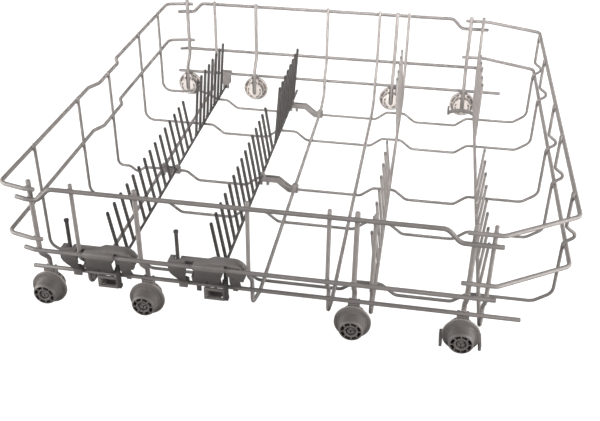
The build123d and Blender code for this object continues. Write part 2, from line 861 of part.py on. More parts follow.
    # Wall behind the rail that carries the rod's bearing and the ring
    ring_outer_y = rail_outer_y - ring_rail_gap - ring_depth
    ring_inner_y = rail_outer_y - ring_rail_gap
    ring_bottom = rod_z + ring_bottom_rise
    ring_top = bottom_rail_z - ring_top_drop
    wall_inner_y = rod_near_y + crank_gap + bearing_depth
    add(
        along_x(
            ring_rear_u,
            ring_rear_u + ring_wall,
            ((rail_outer_y, rail_top), (wall_inner_y, seat_top)),
            ((rail_inner_y, ring_bottom), (wall_inner_y, rail_top)),
            ((ring_outer_y, ring_bottom), (wall_inner_y, rail_bottom - ring_rail_gap)),
            ((ring_outer_y, ring_bottom), (ring_inner_y, ring_top)),
        )
    )
    post_front_u = trough_front_u + post_width
    add(
        along_x(
            trough_front_u,
            post_front_u,
            ((ring_outer_y, ring_bottom), (ring_inner_y, rail_top + post_rise)),
        )
    )
    add(
        along_x(
            ring_rear_u,
            post_front_u,
            ((ring_outer_y, ring_bottom), (ring_inner_y, ring_bottom + ring_bottom_height)),
            ((ring_outer_y, ring_top - ring_top_height), (ring_inner_y, ring_top)),
        )
    )
    block_low = (ring_rear_u, rod_z - bearing_below_rod)
    block_high = (bearing_half, rod_z + bearing_above_rod)
    with BuildSketch(Plane.XZ.offset(-wall_inner_y)):
        add(span(block_low, block_high))
    extrude(amount=bearing_depth)
    with BuildSketch(Plane.XZ.offset(-wall_inner_y)):
        with Locations((0, rod_z)):
            RegularPolygon(rod_d / 2 + running_clearance, small_sides, major_radius=False)
    extrude(amount=bearing_depth, mode=Mode.SUBTRACT)

# Release levers
with BuildPart() as lever_form:
    with BuildSketch(Plane.YZ.offset(lever_shaft_rear_u)):
        with Locations((lever_y, lever_z)):
            RegularPolygon(lever_shaft_r, small_sides)
    extrude(amount=finger_front_u - lever_shaft_rear_u)
    with BuildSketch(Plane.XY.offset(lever_z)):
        with Locations((peg_u, lever_y)):
            RegularPolygon(peg_r, small_sides)
    extrude(amount=peg_height)
    with BuildSketch(Plane.XY.offset(lever_z + peg_height - peg_head)):
        with Locations((peg_u, lever_y)):
            RegularPolygon(peg_head_r, small_sides)
    extrude(amount=peg_head)
    foot_high = (finger_outer_y + finger_foot_reach, finger_foot_z + finger_foot)
    add(
        along_x(
            finger_rear_u,
            finger_front_u,
            ((finger_outer_y, finger_foot_z), (finger_inner_y, lever_z)),
            ((finger_outer_y, finger_foot_z), foot_high),
        )
    )

for row, rod_x in rod_xs.items():
    with BuildPart() as fold_bracket:
        with Locations((rod_x, 0, 0)):
            add(bracket_form.part)
    save(fold_bracket, f"{row}_fold_bracket")
    with BuildPart() as release_lever:
        with Locations((rod_x, 0, 0)):
            add(lever_form.part)
    save(release_lever, f"{row}_release_lever")


# Rod clips
def clip_on_wires(wire_number, rod_x, cross_number, corners):
    """A sleeve along a floor wire that holds the rod at one end and a cross wire at the other."""
    y = floor_wire_ys[wire_number - 1]
    cross_x = cross_wire_xs[cross_number - 1]
    wire_cross_z = low_cross_z if cross_number in low_cross_wires else cross_z
    hole_r = (cross_wire_d / 2 + seat_clearance) * corner_factor
    room = floor_wire(wire_number, floor_wire_d + 2 * seat_clearance)
    cross_room = cross_wire(cross_number, cross_wire_d + 2 * seat_clearance)
    with BuildPart() as clip:
        with BuildSketch(Plane.XZ.offset(-y)):
            with BuildLine():
                Polyline(*corners)
            trace(line_width=floor_wire_d + 2 * clip_wall)
            with Locations((rod_x, rod_z)):
                RegularPolygon(rod_d / 2 + clip_wall, small_sides)
            with Locations((cross_x, wire_cross_z)):
                RegularPolygon(hole_r + clip_wall, small_sides)
        extrude(amount=clip_half, both=True)
        with BuildSketch(Plane.XZ.offset(-y)):
            with Locations((rod_x, rod_z)):
                RegularPolygon(rod_d / 2 + running_clearance, small_sides, major_radius=False)
        extrude(amount=clip_half, both=True, mode=Mode.SUBTRACT)
        add(room.part, mode=Mode.SUBTRACT)
        add(cross_room.part, mode=Mode.SUBTRACT)
    return clip


rear_rod_x = rod_xs["rear"]
rear_corners = [(cross_wire_xs[0] - clip_overhang, floor_z), (rear_rod_x + clip_overhang, floor_z)]
middle_rod_x = rod_xs["middle"]
ramp_start = dip_spans[1][0]
middle_corners = [
    (middle_rod_x - clip_overhang, floor_z),
    (ramp_start, floor_z),
    (ramp_start + dip_ramp, floor_z - floor_dip),
    (cross_wire_xs[1] + clip_overhang, floor_z - floor_dip),
]
save(clip_on_wires(centre_clip_wire, rear_rod_x, 1, rear_corners), "rear_centre_clip")
save(clip_on_wires(centre_clip_wire, middle_rod_x, 2, middle_corners), "middle_centre_clip")
save(clip_on_wires(right_clip_wire, middle_rod_x, 2, middle_corners), "middle_right_clip")

# Clip that hangs the rear rod's far end from the bottom rail
with BuildPart() as rear_right_clip:
    clip_inner_y = bottom_rail_y - bottom_rail_d / 2 - seat_clearance - end_clip_depth
    end_clip_shoulder_z = rod_z + end_clip_shoulder
    with BuildSketch(Plane.XZ.offset(-clip_inner_y)):
        with BuildLine():
            Polyline(
                (rear_rod_x - end_clip_foot_width / 2, rod_z - rod_d / 2 - clip_wall),
                (rear_rod_x + end_clip_foot_width / 2, rod_z - rod_d / 2 - clip_wall),
                (rear_rod_x + end_clip_foot_width / 2, rod_z + rod_d),
                (rear_rod_x + end_clip_width / 2, end_clip_shoulder_z),
                (rear_rod_x + end_clip_width / 2, rail_top + end_clip_wall),
                (rear_rod_x - end_clip_width / 2, rail_top + end_clip_wall),
                (rear_rod_x - end_clip_width / 2, end_clip_shoulder_z),
                (rear_rod_x - end_clip_foot_width / 2, rod_z + rod_d),
                close=True,
            )
        make_face()
    extrude(amount=-end_clip_depth)
    with BuildSketch(Plane.YZ.offset(rear_rod_x - end_clip_width / 2)):
        hook_inner_y = bottom_rail_y + bottom_rail_d / 2 + seat_clearance
        hook_outer_y = hook_inner_y + end_clip_wall
        add(span((clip_inner_y, rail_top), (hook_outer_y, rail_top + end_clip_wall)))
        add(span((hook_inner_y, bottom_rail_z - end_clip_hook_drop), (hook_outer_y, rail_top)))
    extrude(amount=end_clip_width)
    with BuildSketch(Plane.XZ.offset(-clip_inner_y)):
        with Locations((rear_rod_x, rod_z)):
            RegularPolygon(rod_d / 2 + running_clearance, small_sides, major_radius=False)
    extrude(amount=-end_clip_depth, mode=Mode.SUBTRACT)
save(rear_right_clip, "rear_right_clip")
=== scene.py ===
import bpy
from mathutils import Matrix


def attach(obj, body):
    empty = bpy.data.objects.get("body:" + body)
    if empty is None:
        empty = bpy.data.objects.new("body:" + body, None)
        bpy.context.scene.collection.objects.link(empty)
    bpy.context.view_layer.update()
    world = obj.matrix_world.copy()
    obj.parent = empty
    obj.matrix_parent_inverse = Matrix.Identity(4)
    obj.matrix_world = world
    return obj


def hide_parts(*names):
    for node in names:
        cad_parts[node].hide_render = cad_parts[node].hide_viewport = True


bl_info = {
    "name": "Dishwasher basket",
    "version": (1, 0, 0),
    "blender": (4, 5, 0),
    "location": "View3D > Sidebar > Basket",
    "description": "Dresses the lower basket of a dishwasher around its packed CAD frame",
    "category": "Object",
}

from math import asin, ceil, cos, pi, radians, sin, tan

import bmesh
import bpy
from bpy.props import FloatProperty, FloatVectorProperty, IntProperty, PointerProperty
from bpy.types import Operator, Panel, PropertyGroup
from mathutils import Matrix, Quaternion, Vector

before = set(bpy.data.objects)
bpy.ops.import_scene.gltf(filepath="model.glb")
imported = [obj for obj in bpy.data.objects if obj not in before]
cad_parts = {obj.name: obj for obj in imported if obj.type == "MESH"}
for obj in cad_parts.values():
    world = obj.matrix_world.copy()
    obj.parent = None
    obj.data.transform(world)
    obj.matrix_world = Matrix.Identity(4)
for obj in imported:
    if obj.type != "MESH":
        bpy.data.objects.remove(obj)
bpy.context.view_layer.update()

# Sizes of the CAD frame that the pieces follow, in millimetres
MM = 0.001
SIDES = {"left": -1, "right": 1}
SIDE_RAIL_Y = 260.0
BOTTOM_RAIL_Y = 245.6
TOP_RAIL_Z = 134.0
MID_RAIL_Z = 67.0
BOTTOM_RAIL_Z = 38.0
END_TOP_RAIL_Z = 132.5
REAR_MID_RAIL_Z = 79.8
FRONT_MID_RAIL_Z = 81.5
RAIL_DROP = 12.5
RAIL_REAR_X = -240.5
RAIL_FRONT_X = 188.3
BOTTOM_RAIL_ENDS = (-241.0, 213.5)
JOGGLE_XS = (-212.0, 147.0)
JOGGLE_HALF = 6.0
TUCK_X = -228.5
TUCK_ANGLE = radians(16.0)
REAR_RAIL_X = -255.0
FRONT_RAIL_X = 250.3
RECESS_DEPTH = 7.2
RECESS_YS = (-41.0, -27.0, 33.0, 47.0)
REAR_TAIL_X = -218.8
CHEEK_X = -229.5
CHEEK_Y = 253.5
FRONT_TAIL_X = 157.0
FRONT_CORNER_X = 187.0
FRONT_CORNER_YS = (-218.0, 232.0)
WHEEL_WIRE_XS = (-226.1, -128.2, 66.7, 164.3)
CROSS_WIRE_XS = (-186.8, -27.7, 43.1, 82.3, 180.0)
LOW_CROSS_WIRES = (2, 3)
LOW_CROSS_Y = 210.0
CROSS_FOOT_SHARE = 0.7
FLOOR_WIRE_YS = (-187.7, -78.4, -5.4, 121.8, 201.4)
RECESSED_FLOOR_WIRE = 3
RAISED_FLOOR_WIRE = 5
FLOOR_Z = 17.2
FLOOR_DIP = 11.2
DIP_SPANS = ((-159.0, -72.0), (-48.0, 63.5), (88.0, 170.0))
DIP_RAMP = 14.0
SCOOP_XS = (-230.0, -220.5, -211.0)
SCOOP_DEPTH = 7.2
SCOOP_FOOT_SHARE = 0.8
RAISED_XS = (-222.0, -205.0)
RAISED_ZS = (25.0, 29.8)
RAISED_PAST = 1.8
RAISED_GAP = 0.3
RAISED_END_X = -173.5
FRONT_FOOT_X = 230.0
FRONT_FOOT_Z = 29.0
KINK_ABOVE_RAIL = 4.0
KINK_HALF = 8.5
KINK_BEND = 4.0
UPRIGHT_TOP_Z = 139.5
FLOOR_WIRE_TOP_Z = 138.5
JOG_TOP_Z = 61.0
JOG_BOTTOM_Z = 46.0
WHEEL_WIRE_END_Z = 12.0
ROD_XS = {"rear": -170.6, "middle": -67.2}
ROD_ENDS = {"rear": (-239.6, 243.4), "middle": (-239.6, 245.5)}
ROD_GAP = 0.3
TINE_FIRST_Y = -201.0
TINE_PITCH = 18.7
FIXED_NEAR_Y = -185.0
FIXED_NEAR_PITCH = 26.8
FIXED_FAR_Y = 129.0
FIXED_FAR_PITCH = 23.9
FIXED_ROWS = {"middle": (4, -7.3, -3.8), "front": (5, 3.5, 0.3)}
AXLE_Z = 17.0
WHEEL_Y = 247.0
HOLDER_Y = 238.0

# Reach of the front kink, short enough for the coat to stay inside the frame's box
KINK_REACH = 11.2

# Dipped tips, rounded ends and collars of coating, made only here
TIP_DIP = 3.2
TIP_EDGE = 1.0
TIP_RINGS = 3
END_ROUND = 0.5
COLLAR_STRETCH = 1.15

# The rod clips on the floor wires
CENTRE_CLIP_WIRE = 3
RIGHT_CLIP_WIRE = 5
CLIP_WALL = 1.9
# The lip is a dark strip of painted shadow along the clip's open channel
LIP_R = 0.95
LIP_SIDE = 1.2
LIP_CLEAR = 5.0
LIP_FACES = 8
LIP_SHADOW_SHARE = 0.18
CLIP_TAB_XS = (-7.6, 0.4)
CLIP_TAB_WIDTH = 3.0
CLIP_TAB_HALF = 1.6
CLIP_TAB_DROP = 5.5
CLIP_TAB_SINK = 0.4

# The wheel's section as radius and height over its inner face, and where its slots and pockets start
WHEEL_BORE = 3.05
WHEEL_R = 17.0
WHEEL_FACE = 16.4
HUB_R = 4.0
SLOT_R = 9.4
POCKET_R = 12.6
POCKET_FACE = 1.6
POCKET_FLOOR = 2.4
RIB_COLUMNS = 2
FLANGE = [
    (WHEEL_BORE, 0.5), (POCKET_R, 0.5), (POCKET_R, POCKET_FACE), (15.3, POCKET_FACE), (15.3, 0.5),
    (16.3, 0.5), (16.8, 0.7), (WHEEL_R, 1.2), (WHEEL_R, 3.7), (16.8, 4.2), (16.3, 4.5), (13.7, 4.5),
    (13.5, 4.9),
]
DRUM = [
    (13.3, 5.4), (12.4, 5.6), (12.1, 6.2), (11.4, 13.9), (11.3, 14.6), (10.9, 15.3), (10.4, 15.9),
    (9.9, 16.3),
]
HUB = [
    (SLOT_R, WHEEL_FACE), (6.5, WHEEL_FACE), (5.2, WHEEL_FACE), (4.8, 16.1), (4.8, 13.0),
    (WHEEL_BORE, 13.0),
]
WHEEL_PROFILE = FLANGE + DRUM + HUB

# Turn between two faces from which their edge looks sharp, gets rounded or is no edge at all
WIRE_SHARP = radians(40)
MOULDING_SHARP = radians(30)
WHEEL_SHARP = radians(35)
ROUNDED_FROM = radians(40)
FLAT_UNDER = radians(1)
MERGE_GAP = 0.01

# Finishes: patches and bumps as noise scale and detail, relief as strength and height in metres
NOISE_SPAN = (0.3, 0.7)
TONE_SPAN = (0.9, 1.08)
TIP_SHARE = 0.55
COAT_FINISH = {
    "patches": (90.0, 3.0),
    "bumps": (900.0, 2.0),
    "roughness": (0.36, 0.48),
    "relief": (0.25, 0.0002),
    "shine": 0.3,
}
PLASTIC_FINISH = {
    "patches": (140.0, 4.0),
    "bumps": (2600.0, 2.0),
    "roughness": (0.46, 0.6),
    "relief": (0.3, 0.00012),
    "shine": 0.4,
}

# Lamps as size, place and the point that each looks at, and the floor's reach, in metres
TOP_LAMP = (1.0, (-0.1, 0.0, 1.3), (0, 0, 0))
LEFT_LAMP = (0.6, (-0.9, -0.45, 0.3), (0, 0.05, 0.05))
RIGHT_LAMP = (0.6, (0.9, -0.45, 0.3), (0, 0.05, 0.05))
FAR_LAMP = (0.4, (0.0, -0.5, 0.9), (0, 0.26, 0.06))
FLOOR_REACH = 8.0
FLOOR_ROUGHNESS = 0.9

# Width of the camera's sensor, in millimetres
SENSOR_WIDTH = 36.0

# Colour sockets of the mix node
MIX_FIRST = 6
MIX_SECOND = 7
MIX_RESULT = 2

# Painted shade on the brackets, darker on the skirt below the middle rail and lighter at the top: heights
# and the share of the tone that is seen there
SHADE_SCALE = 0.01
SHADE_HEIGHTS = (33.0, 40.0, 44.0, 58.0, 64.0, 67.0)
SHADE_SHARES = (0.95, 0.85, 0.5, 0.62, 0.95, 1.12)

# The wheel holder, from its inner face outwards and from the axle up
HOLDER_R = 11.5
HOLDER_STEPS = 40
HOLDER_DEPTH = 8.5
NECK_HALF = 5.25
NECK_TOP = 18.8
CHANNEL_HALF = 2.64
CHANNEL_END = -5.1
CHANNEL_DEPTH = 5.8
CHANNEL_STEPS = 8
NOTCH_HALF = 4.5
NOTCH_HEIGHTS = (10.8, 14.2)
AXLE_R = 3.0
AXLE_STEPS = 32
AXLE_SINK = 2.0
AXLE_END = 24.2
HOOK_COUNT = 3
HOOK_STEPS = 10
HOOK_SINK = 0.5
HOOK_START = 22.2
HOOK_STEP = 0.1
HOOK_LAND = 0.5
HOOK_TAPER = 0.6
HOOK_R = 3.9
SLIT_START = 18.2
SLIT_HALF = 0.45
RIB_RADII = (7.9, 9.9)
RIB_TURNS = ((-72.0, -42.0), (-34.0, -4.0), (4.0, 30.0))
RIB_DEPTHS = (-0.6, 0.6)
RIB_STEPS = 6
GUARD_CENTRE = -38.54
GUARD_RADII = (31.74, 36.14)
GUARD_HALF_TURN = radians(30.8)
GUARD_DEPTHS = (-2.0, 1.0)
GUARD_STEPS = 12
TAB_X = 17.4
TAB_HALF = 1.3
TAB_HEIGHTS = (-12.4, -6.4)
TAB_DEPTHS = (-2.0, 16.0)


# Settings
def length_setting(name, description, size):
    """A length, given in millimetres."""
    return FloatProperty(name=name, description=description, default=size * MM, unit="LENGTH")


def angle_setting(name, description, turn):
    """An angle, given in degrees."""
    return FloatProperty(name=name, description=description, default=radians(turn), subtype="ANGLE")


def number_setting(name, description, value):
    """A plain number."""
    return FloatProperty(name=name, description=description, default=value)


def count_setting(name, description, number, least=1):
    """A number of things and the least that makes sense."""
    return IntProperty(name=name, description=description, default=number, min=least)


def colour_setting(name, description, colour):
    """A colour."""
    return FloatVectorProperty(name=name, description=description, default=colour, subtype="COLOR")


def power_setting(name, description, watts):
    """The power of a lamp."""
    return FloatProperty(name=name, description=description, default=watts, unit="POWER")


class WireSettings(PropertyGroup):
    """Diameters, bends and colours of the coated wire."""

    rail_d: length_setting("Rail wire", "Diameter of the rails", 4.0)
    bottom_rail_d: length_setting("Bottom rail wire", "Diameter of the bottom rails", 3.8)
    wheel_wire_d: length_setting("Wheel wire", "Diameter of the wires that carry the wheels", 4.4)
    cross_d: length_setting("Cross wire", "Diameter of the cross wires", 3.6)
    floor_d: length_setting("Floor wire", "Diameter of the floor wires", 3.0)
    gentle_bend: length_setting("Gentle bend", "Bend of ramps and jogs", 9.0)
    corner_bend: length_setting("Corner bend", "Bend of the end rails' corners", 9.0)
    foot_bend: length_setting("Foot bend", "Bend where a wire turns up from the floor", 12.0)
    sides: count_setting("Sides", "Faces round a wire", 16, 6)
    bend_step: angle_setting("Bend step", "Turn between two rings of a bend", 10.0)
    coat: length_setting("Coat", "Thickness that the coat adds to a wire", 0.09)
    weld_reach: number_setting("Weld reach", "Reach of a weld's coating, in radii of the wire", 1.4)
    weld_rise: number_setting("Weld rise", "Thickness of a weld's coating, in radii of the wire", 0.62)
    colour: colour_setting("Coat colour", "Colour of the wire's coat", (0.24, 0.218, 0.207))
    # The side rails and floor wires have the same coat as the other wires; their darker tone is painted
    # shade
    rail_shade_share: number_setting(
        "Rail share", "Tone of the side rails and floor wires, as a share of the coat's", 0.72)
    dark_colour: colour_setting("Folding coat", "Colour of the folding rows' coat", (0.062, 0.056, 0.054))


class TineSettings(PropertyGroup):
    """Sizes of the plate tines."""

    rod_d: length_setting("Rod", "Diameter of a folding row's rod", 3.0)
    folding_d: length_setting("Folding tine", "Diameter of a folding tine", 3.3)
    fixed_d: length_setting("Fixed tine", "Diameter of a fixed tine", 2.8)
    short_count: count_setting("Short tines", "Short tines in a folding row", 15)
    tall_count: count_setting("Tall tines", "Tall tines in a folding row", 8)
    near_count: count_setting("Near fixed tines", "Tines of a fixed row's near group", 8)
    far_count: count_setting("Far fixed tines", "Tines of a fixed row's far group", 5)
    short_top: length_setting("Short top", "Height of the short tines' tips", 77.5)
    tall_top: length_setting("Tall top", "Height of the tall tines' tips", 97.0)
    short_lean: angle_setting("Short lean", "Lean of the short tines to the front", -9.0)
    tall_lean: angle_setting("Tall lean", "Lean of the tall tines to the front", 4.3)
    fixed_near_top: length_setting("Near fixed top", "Height of the near fixed tines", 76.0)
    fixed_far_top: length_setting("Far fixed top", "Height of the far fixed tines", 100.0)


class MouldingSettings(PropertyGroup):
    """Sizes and colours of the moulded pieces."""

    edge: length_setting("Edge", "Rounding of the mouldings' edges", 0.35)
    wheel_columns: count_setting("Wheel columns", "Columns of faces round a wheel", 96, 48)
    wheel_slots: count_setting("Wheel slots", "Slots in a wheel's face", 8)
    slot_depth: length_setting("Slot depth", "Depth of a wheel's slots", 8.0)
    colour: colour_setting("Moulding", "Colour of the brackets and holders", (0.15, 0.136, 0.128))
    wheel_colour: colour_setting("Wheel", "Colour of the wheels", (0.125, 0.112, 0.105))
    # The wheels' and holders' inner faces are the same plastic as the rest; their lighter tone is painted
    # light
    inner_light_share: number_setting(
        "Inner share", "Tone of the wheels' and holders' inner faces, as a share of their colour", 3.4)
    dark_colour: colour_setting("Lever", "Colour of the release levers", (0.055, 0.05, 0.048))
    clip_colour: colour_setting("Clip", "Colour of the rod clips", (0.18, 0.165, 0.156))


class StageSettings(PropertyGroup):
    """Camera, lamps and floor."""

    place: FloatVectorProperty(
        name="Camera place", description="Where the camera stands", default=(0.11093, -0.85005, 0.51045),
        subtype="TRANSLATION")
    turn: FloatVectorProperty(
        name="Camera turn", description="How the camera is turned",
        default=(radians(58.6824), radians(-0.0928), radians(10.3983)), subtype="EULER")
    lens: number_setting("Lens", "Focal length in millimetres", 50.525)
    shift: FloatVectorProperty(
        name="Shift", description="Camera shift", size=2, default=(0.0300, -0.0160))
    floor_colour: colour_setting("Floor", "Colour of the floor", (0.30, 0.30, 0.30))
    floor_glow: number_setting("Floor glow", "Light that the camera sees on top of the floor's own", 0.93)
    top_power: power_setting("Top lamp", "Power of the lamp above the basket", 0.6)
    far_power: power_setting("Far lamp", "Power of the lamp that looks at the far side", 1.4)
    far_spread: angle_setting("Far spread", "Opening of the far lamp's beam", 40.0)
    side_power: power_setting("Side lamps", "Power of the lamps at the basket's two ends", 11.5)
    sky: number_setting("Walls", "Strength of the light from all round, at the horizon", 1.5)
    ceiling: number_setting("Ceiling", "Strength of the light from above", 0.12)
    tent_height: number_setting("Tent height", "Sine of the angle at which the walls end", 0.6)


# Bent wire
def bent_path(points, bends, step):
    """Centre line of a wire: straight runs joined by round bends."""
    corners = [Vector(point) for point in points]
    path = [corners[0]]
    for before, corner, after, bend in zip(corners, corners[1:], corners[2:], bends):
        come = corner - before
        go = after - corner
        turn = come.angle(go)
        reach = min(bend * tan(turn / 2), come.length / 2, go.length / 2)
        radius = reach / tan(turn / 2)
        axis = come.cross(go).normalized()
        start = corner - come.normalized() * reach
        centre = start + axis.cross(come).normalized() * radius
        steps = max(2, ceil(turn / step))
        path += [centre + Quaternion(axis, turn * i / steps) @ (start - centre) for i in range(steps + 1)]
    path.append(corners[-1])
    return path


def spokes(count):
    """Angles at equal steps round a full turn."""
    return [2 * pi * i / count for i in range(count)]


def add_ring(mesh, centre, along, normal, radius, sides):
    """A ring of vertices round a point."""
    across = along.cross(normal)
    offsets = [(normal * cos(a) + across * sin(a)) * radius for a in spokes(sides)]
    return [mesh.verts.new((centre + offset) * MM) for offset in offsets]


def add_tube(mesh, path, radius, sides, tips):
    """A round wire along a path; each tip is rounded over its own length."""
    along = [path[1] - path[0]] + [b - a for a, b in zip(path, path[2:])] + [path[-1] - path[-2]]
    along = [direction.normalized() for direction in along]
    turns = [pi * i / (2 * TIP_RINGS) for i in range(1, TIP_RINGS + 1)]
    rounds = [(1 - cos(turn), sin(turn)) for turn in turns]
    stations = [(path[0] + along[0] * tips[0] * back, along[0], radius * size) for back, size in rounds]
    stations += [(point, direction, radius) for point, direction in zip(path[1:-1], along[1:-1])]
    end, onward = path[-1], along[-1]
    stations += [(end - onward * tips[1] * back, onward, radius * size) for back, size in reversed(rounds)]
    normal = along[0].orthogonal().normalized()
    rings = []
    for centre, direction, size in stations:
        normal = (normal - direction * normal.dot(direction)).normalized()
        rings.append(add_ring(mesh, centre, direction, normal, size, sides))
    for ring, following in zip(rings, rings[1:]):
        for i in range(sides):
            j = (i + 1) % sides
            mesh.faces.new((ring[i], ring[j], following[j], following[i]))
    mesh.faces.new(rings[0][::-1])
    mesh.faces.new(rings[-1])
    return rings


def add_bead(mesh, centre, along, across, reach, width, rise):
    """A lens of coating round a point, with its reach along one wire and its width along the other."""
    rows, columns = 6, 12
    normal = along.cross(across)
    rings = []
    for row in range(1, rows):
        lift = cos(pi * row / rows) * rise
        spread = sin(pi * row / rows)
        angles = spokes(columns)
        offsets = [along * reach * spread * cos(a) + across * width * spread * sin(a) for a in angles]
        rings.append([mesh.verts.new((centre + normal * lift + offset) * MM) for offset in offsets])
    poles = [mesh.verts.new((centre + normal * lift) * MM) for lift in (rise, -rise)]
    for i in range(columns):
        j = (i + 1) % columns
        mesh.faces.new((poles[0], rings[0][i], rings[0][j]))
        mesh.faces.new((poles[1], rings[-1][j], rings[-1][i]))
        for ring, following in zip(rings, rings[1:]):
            mesh.faces.new((ring[i], following[i], following[j], ring[j]))


def finish_piece(name, mesh, body, material, nodes=(), sharp=WIRE_SHARP):
    """Turn a built mesh into a piece that rides on its body and stands for its nodes."""
    data = bpy.data.meshes.new(name)
    bmesh.ops.recalc_face_normals(mesh, faces=mesh.faces)
    mesh.to_mesh(data)
    mesh.free()
    data.shade_smooth()
    data.set_sharp_from_angle(angle=sharp)
    data.materials.append(material)
    piece = bpy.data.objects.new(name, data)
    bpy.context.scene.collection.objects.link(piece)
    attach(piece, body)
    if nodes:
        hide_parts(*nodes)
    return piece


def coated_wire(node, points, bends, diameter, welds=(), coat=None):
    """One wire of the frame, in the place of its node, with beads where it is welded to others."""
    wires = bpy.context.scene.basket_wires
    mesh = bmesh.new()
    path = bent_path(points, bends, wires.bend_step)
    radius = millimetres(diameter) / 2
    thick = radius + millimetres(wires.coat)
    add_tube(mesh, path, thick, wires.sides, (radius * END_ROUND, radius * END_ROUND))
    for centre, along, across in welds:
        reach, rise = radius * wires.weld_reach, radius * wires.weld_rise
        add_bead(mesh, Vector(centre), Vector(along), Vector(across), reach, reach, rise)
    coat = coat or coat_material("wire_coat", wires.colour)
    return finish_piece(f"coated_{node}", mesh, "basket", coat, [node])


def shaded_rail_coat(wires):
    """A darker copy of the coat, painted shade on the wires that run from rear to front."""
    return coat_material("shaded_rail_coat", [c * wires.rail_shade_share for c in wires.colour])


def millimetres(length):
    """A length of the settings in millimetres."""
    return length / MM


# Routes of the wires
def side_rail_points(side, level):
    """Top or middle rail of one side, with its rear end tucked inwards."""
    y = side * SIDE_RAIL_Y
    tucked_y = y - side * (TUCK_X - RAIL_REAR_X) * tan(TUCK_ANGLE)
    if level == "mid":
        return [(RAIL_REAR_X, tucked_y, MID_RAIL_Z), (TUCK_X, y, MID_RAIL_Z), (RAIL_FRONT_X, y, MID_RAIL_Z)]
    low_z = TOP_RAIL_Z - RAIL_DROP
    rear_x, front_x = JOGGLE_XS
    return [
        (RAIL_REAR_X, tucked_y, low_z),
        (TUCK_X, y, low_z),
        (rear_x - JOGGLE_HALF, y, low_z),
        (rear_x + JOGGLE_HALF, y, TOP_RAIL_Z),
        (front_x - JOGGLE_HALF, y, TOP_RAIL_Z),
        (front_x + JOGGLE_HALF, y, low_z),
        (RAIL_FRONT_X, y, low_z),
    ]


def rear_rail_points(z):
    """Rear rail: slanted cheeks and a recess in the middle."""
    recess_x = REAR_RAIL_X + RECESS_DEPTH
    left = [(REAR_TAIL_X, -SIDE_RAIL_Y, z), (CHEEK_X, -SIDE_RAIL_Y, z), (REAR_RAIL_X, -CHEEK_Y, z)]
    recess_xs = (REAR_RAIL_X, recess_x, recess_x, REAR_RAIL_X)
    recess = [(x, y, z) for x, y in zip(recess_xs, RECESS_YS)]
    right = [(x, -y, z) for x, y, z in reversed(left)]
    return left + recess + right


def front_rail_points(z):
    """Front rail: cut-off corners, the right one shorter."""
    left_y, right_y = FRONT_CORNER_YS
    return [
        (FRONT_TAIL_X, -SIDE_RAIL_Y, z),
        (FRONT_CORNER_X, -SIDE_RAIL_Y, z),
        (FRONT_RAIL_X, left_y, z),
        (FRONT_RAIL_X, right_y, z),
        (FRONT_CORNER_X, SIDE_RAIL_Y, z),
        (FRONT_TAIL_X, SIDE_RAIL_Y, z),
    ]


def floor_route(number, wires):
    """Corners (x, z) and bends of a floor wire, rear to front."""
    rail_d, floor_d, cross_d = (millimetres(d) for d in (wires.rail_d, wires.floor_d, wires.cross_d))
    gentle, foot = (millimetres(bend) for bend in (wires.gentle_bend, wires.foot_bend))
    rear_x = REAR_RAIL_X + (rail_d + floor_d) / 2
    front_x = FRONT_RAIL_X - (rail_d + floor_d) / 2
    corners = [(rear_x, FLOOR_Z)]
    bends = [foot]
    if number == RECESSED_FLOOR_WIRE:
        rear_x += RECESS_DEPTH
        corners = [(rear_x, FLOOR_Z), *zip(SCOOP_XS, (FLOOR_Z, FLOOR_Z - SCOOP_DEPTH, FLOOR_Z))]
        bends = [foot * SCOOP_FOOT_SHARE, gentle / 2, gentle / 2, gentle / 2]
    if number == RAISED_FLOOR_WIRE:
        over_z = FLOOR_Z + floor_d + cross_d + RAISED_GAP
        corners = [(rear_x, RAISED_ZS[0]), *zip(RAISED_XS, RAISED_ZS)]
        corners += [(CROSS_WIRE_XS[0] + RAISED_PAST, over_z), (RAISED_END_X, FLOOR_Z)]
        bends = [foot, gentle, gentle, gentle / 2, gentle / 2]
    corners = [(rear_x, FLOOR_WIRE_TOP_Z)] + corners
    for start, end in DIP_SPANS:
        low_z = FLOOR_Z - FLOOR_DIP
        corners += [(start, FLOOR_Z), (start + DIP_RAMP, low_z), (end - DIP_RAMP, low_z), (end, FLOOR_Z)]
        bends += [gentle] * 4
    kink_z = FRONT_MID_RAIL_Z + KINK_ABOVE_RAIL
    kink_end = kink_z + 2 * KINK_HALF
    corners += [(FRONT_FOOT_X, FLOOR_Z), (front_x, FRONT_FOOT_Z)]
    corners += [(front_x, kink_z), (front_x + KINK_REACH, kink_z + KINK_HALF), (front_x, kink_end)]
    corners += [(front_x, FLOOR_WIRE_TOP_Z)]
    bends += [foot] * 2 + [KINK_BEND] * 3
    return corners, bends


def upright_points(x, side, top_y, low_y):
    """The part of an upright above the floor."""
    return [(x, side * top_y, UPRIGHT_TOP_Z), (x, side * top_y, JOG_TOP_Z), (x, side * low_y, JOG_BOTTOM_Z)]


def beside_rails(wires, diameter):
    """Distance from the middle of a wire inside the top rail and inside the bottom rail."""
    top_y = SIDE_RAIL_Y - millimetres(wires.rail_d + diameter) / 2
    low_y = BOTTOM_RAIL_Y - millimetres(wires.bottom_rail_d + diameter) / 2
    return top_y, low_y


def cross_level(wires):
    """Height of the cross wires that lie on the raised floor wires."""
    return FLOOR_Z + millimetres(wires.floor_d + wires.cross_d) / 2


# Welds, each as its point and the directions of its two wires
ALONG_X = (1, 0, 0)
ALONG_Y = (0, 1, 0)
ALONG_Z = (0, 0, 1)


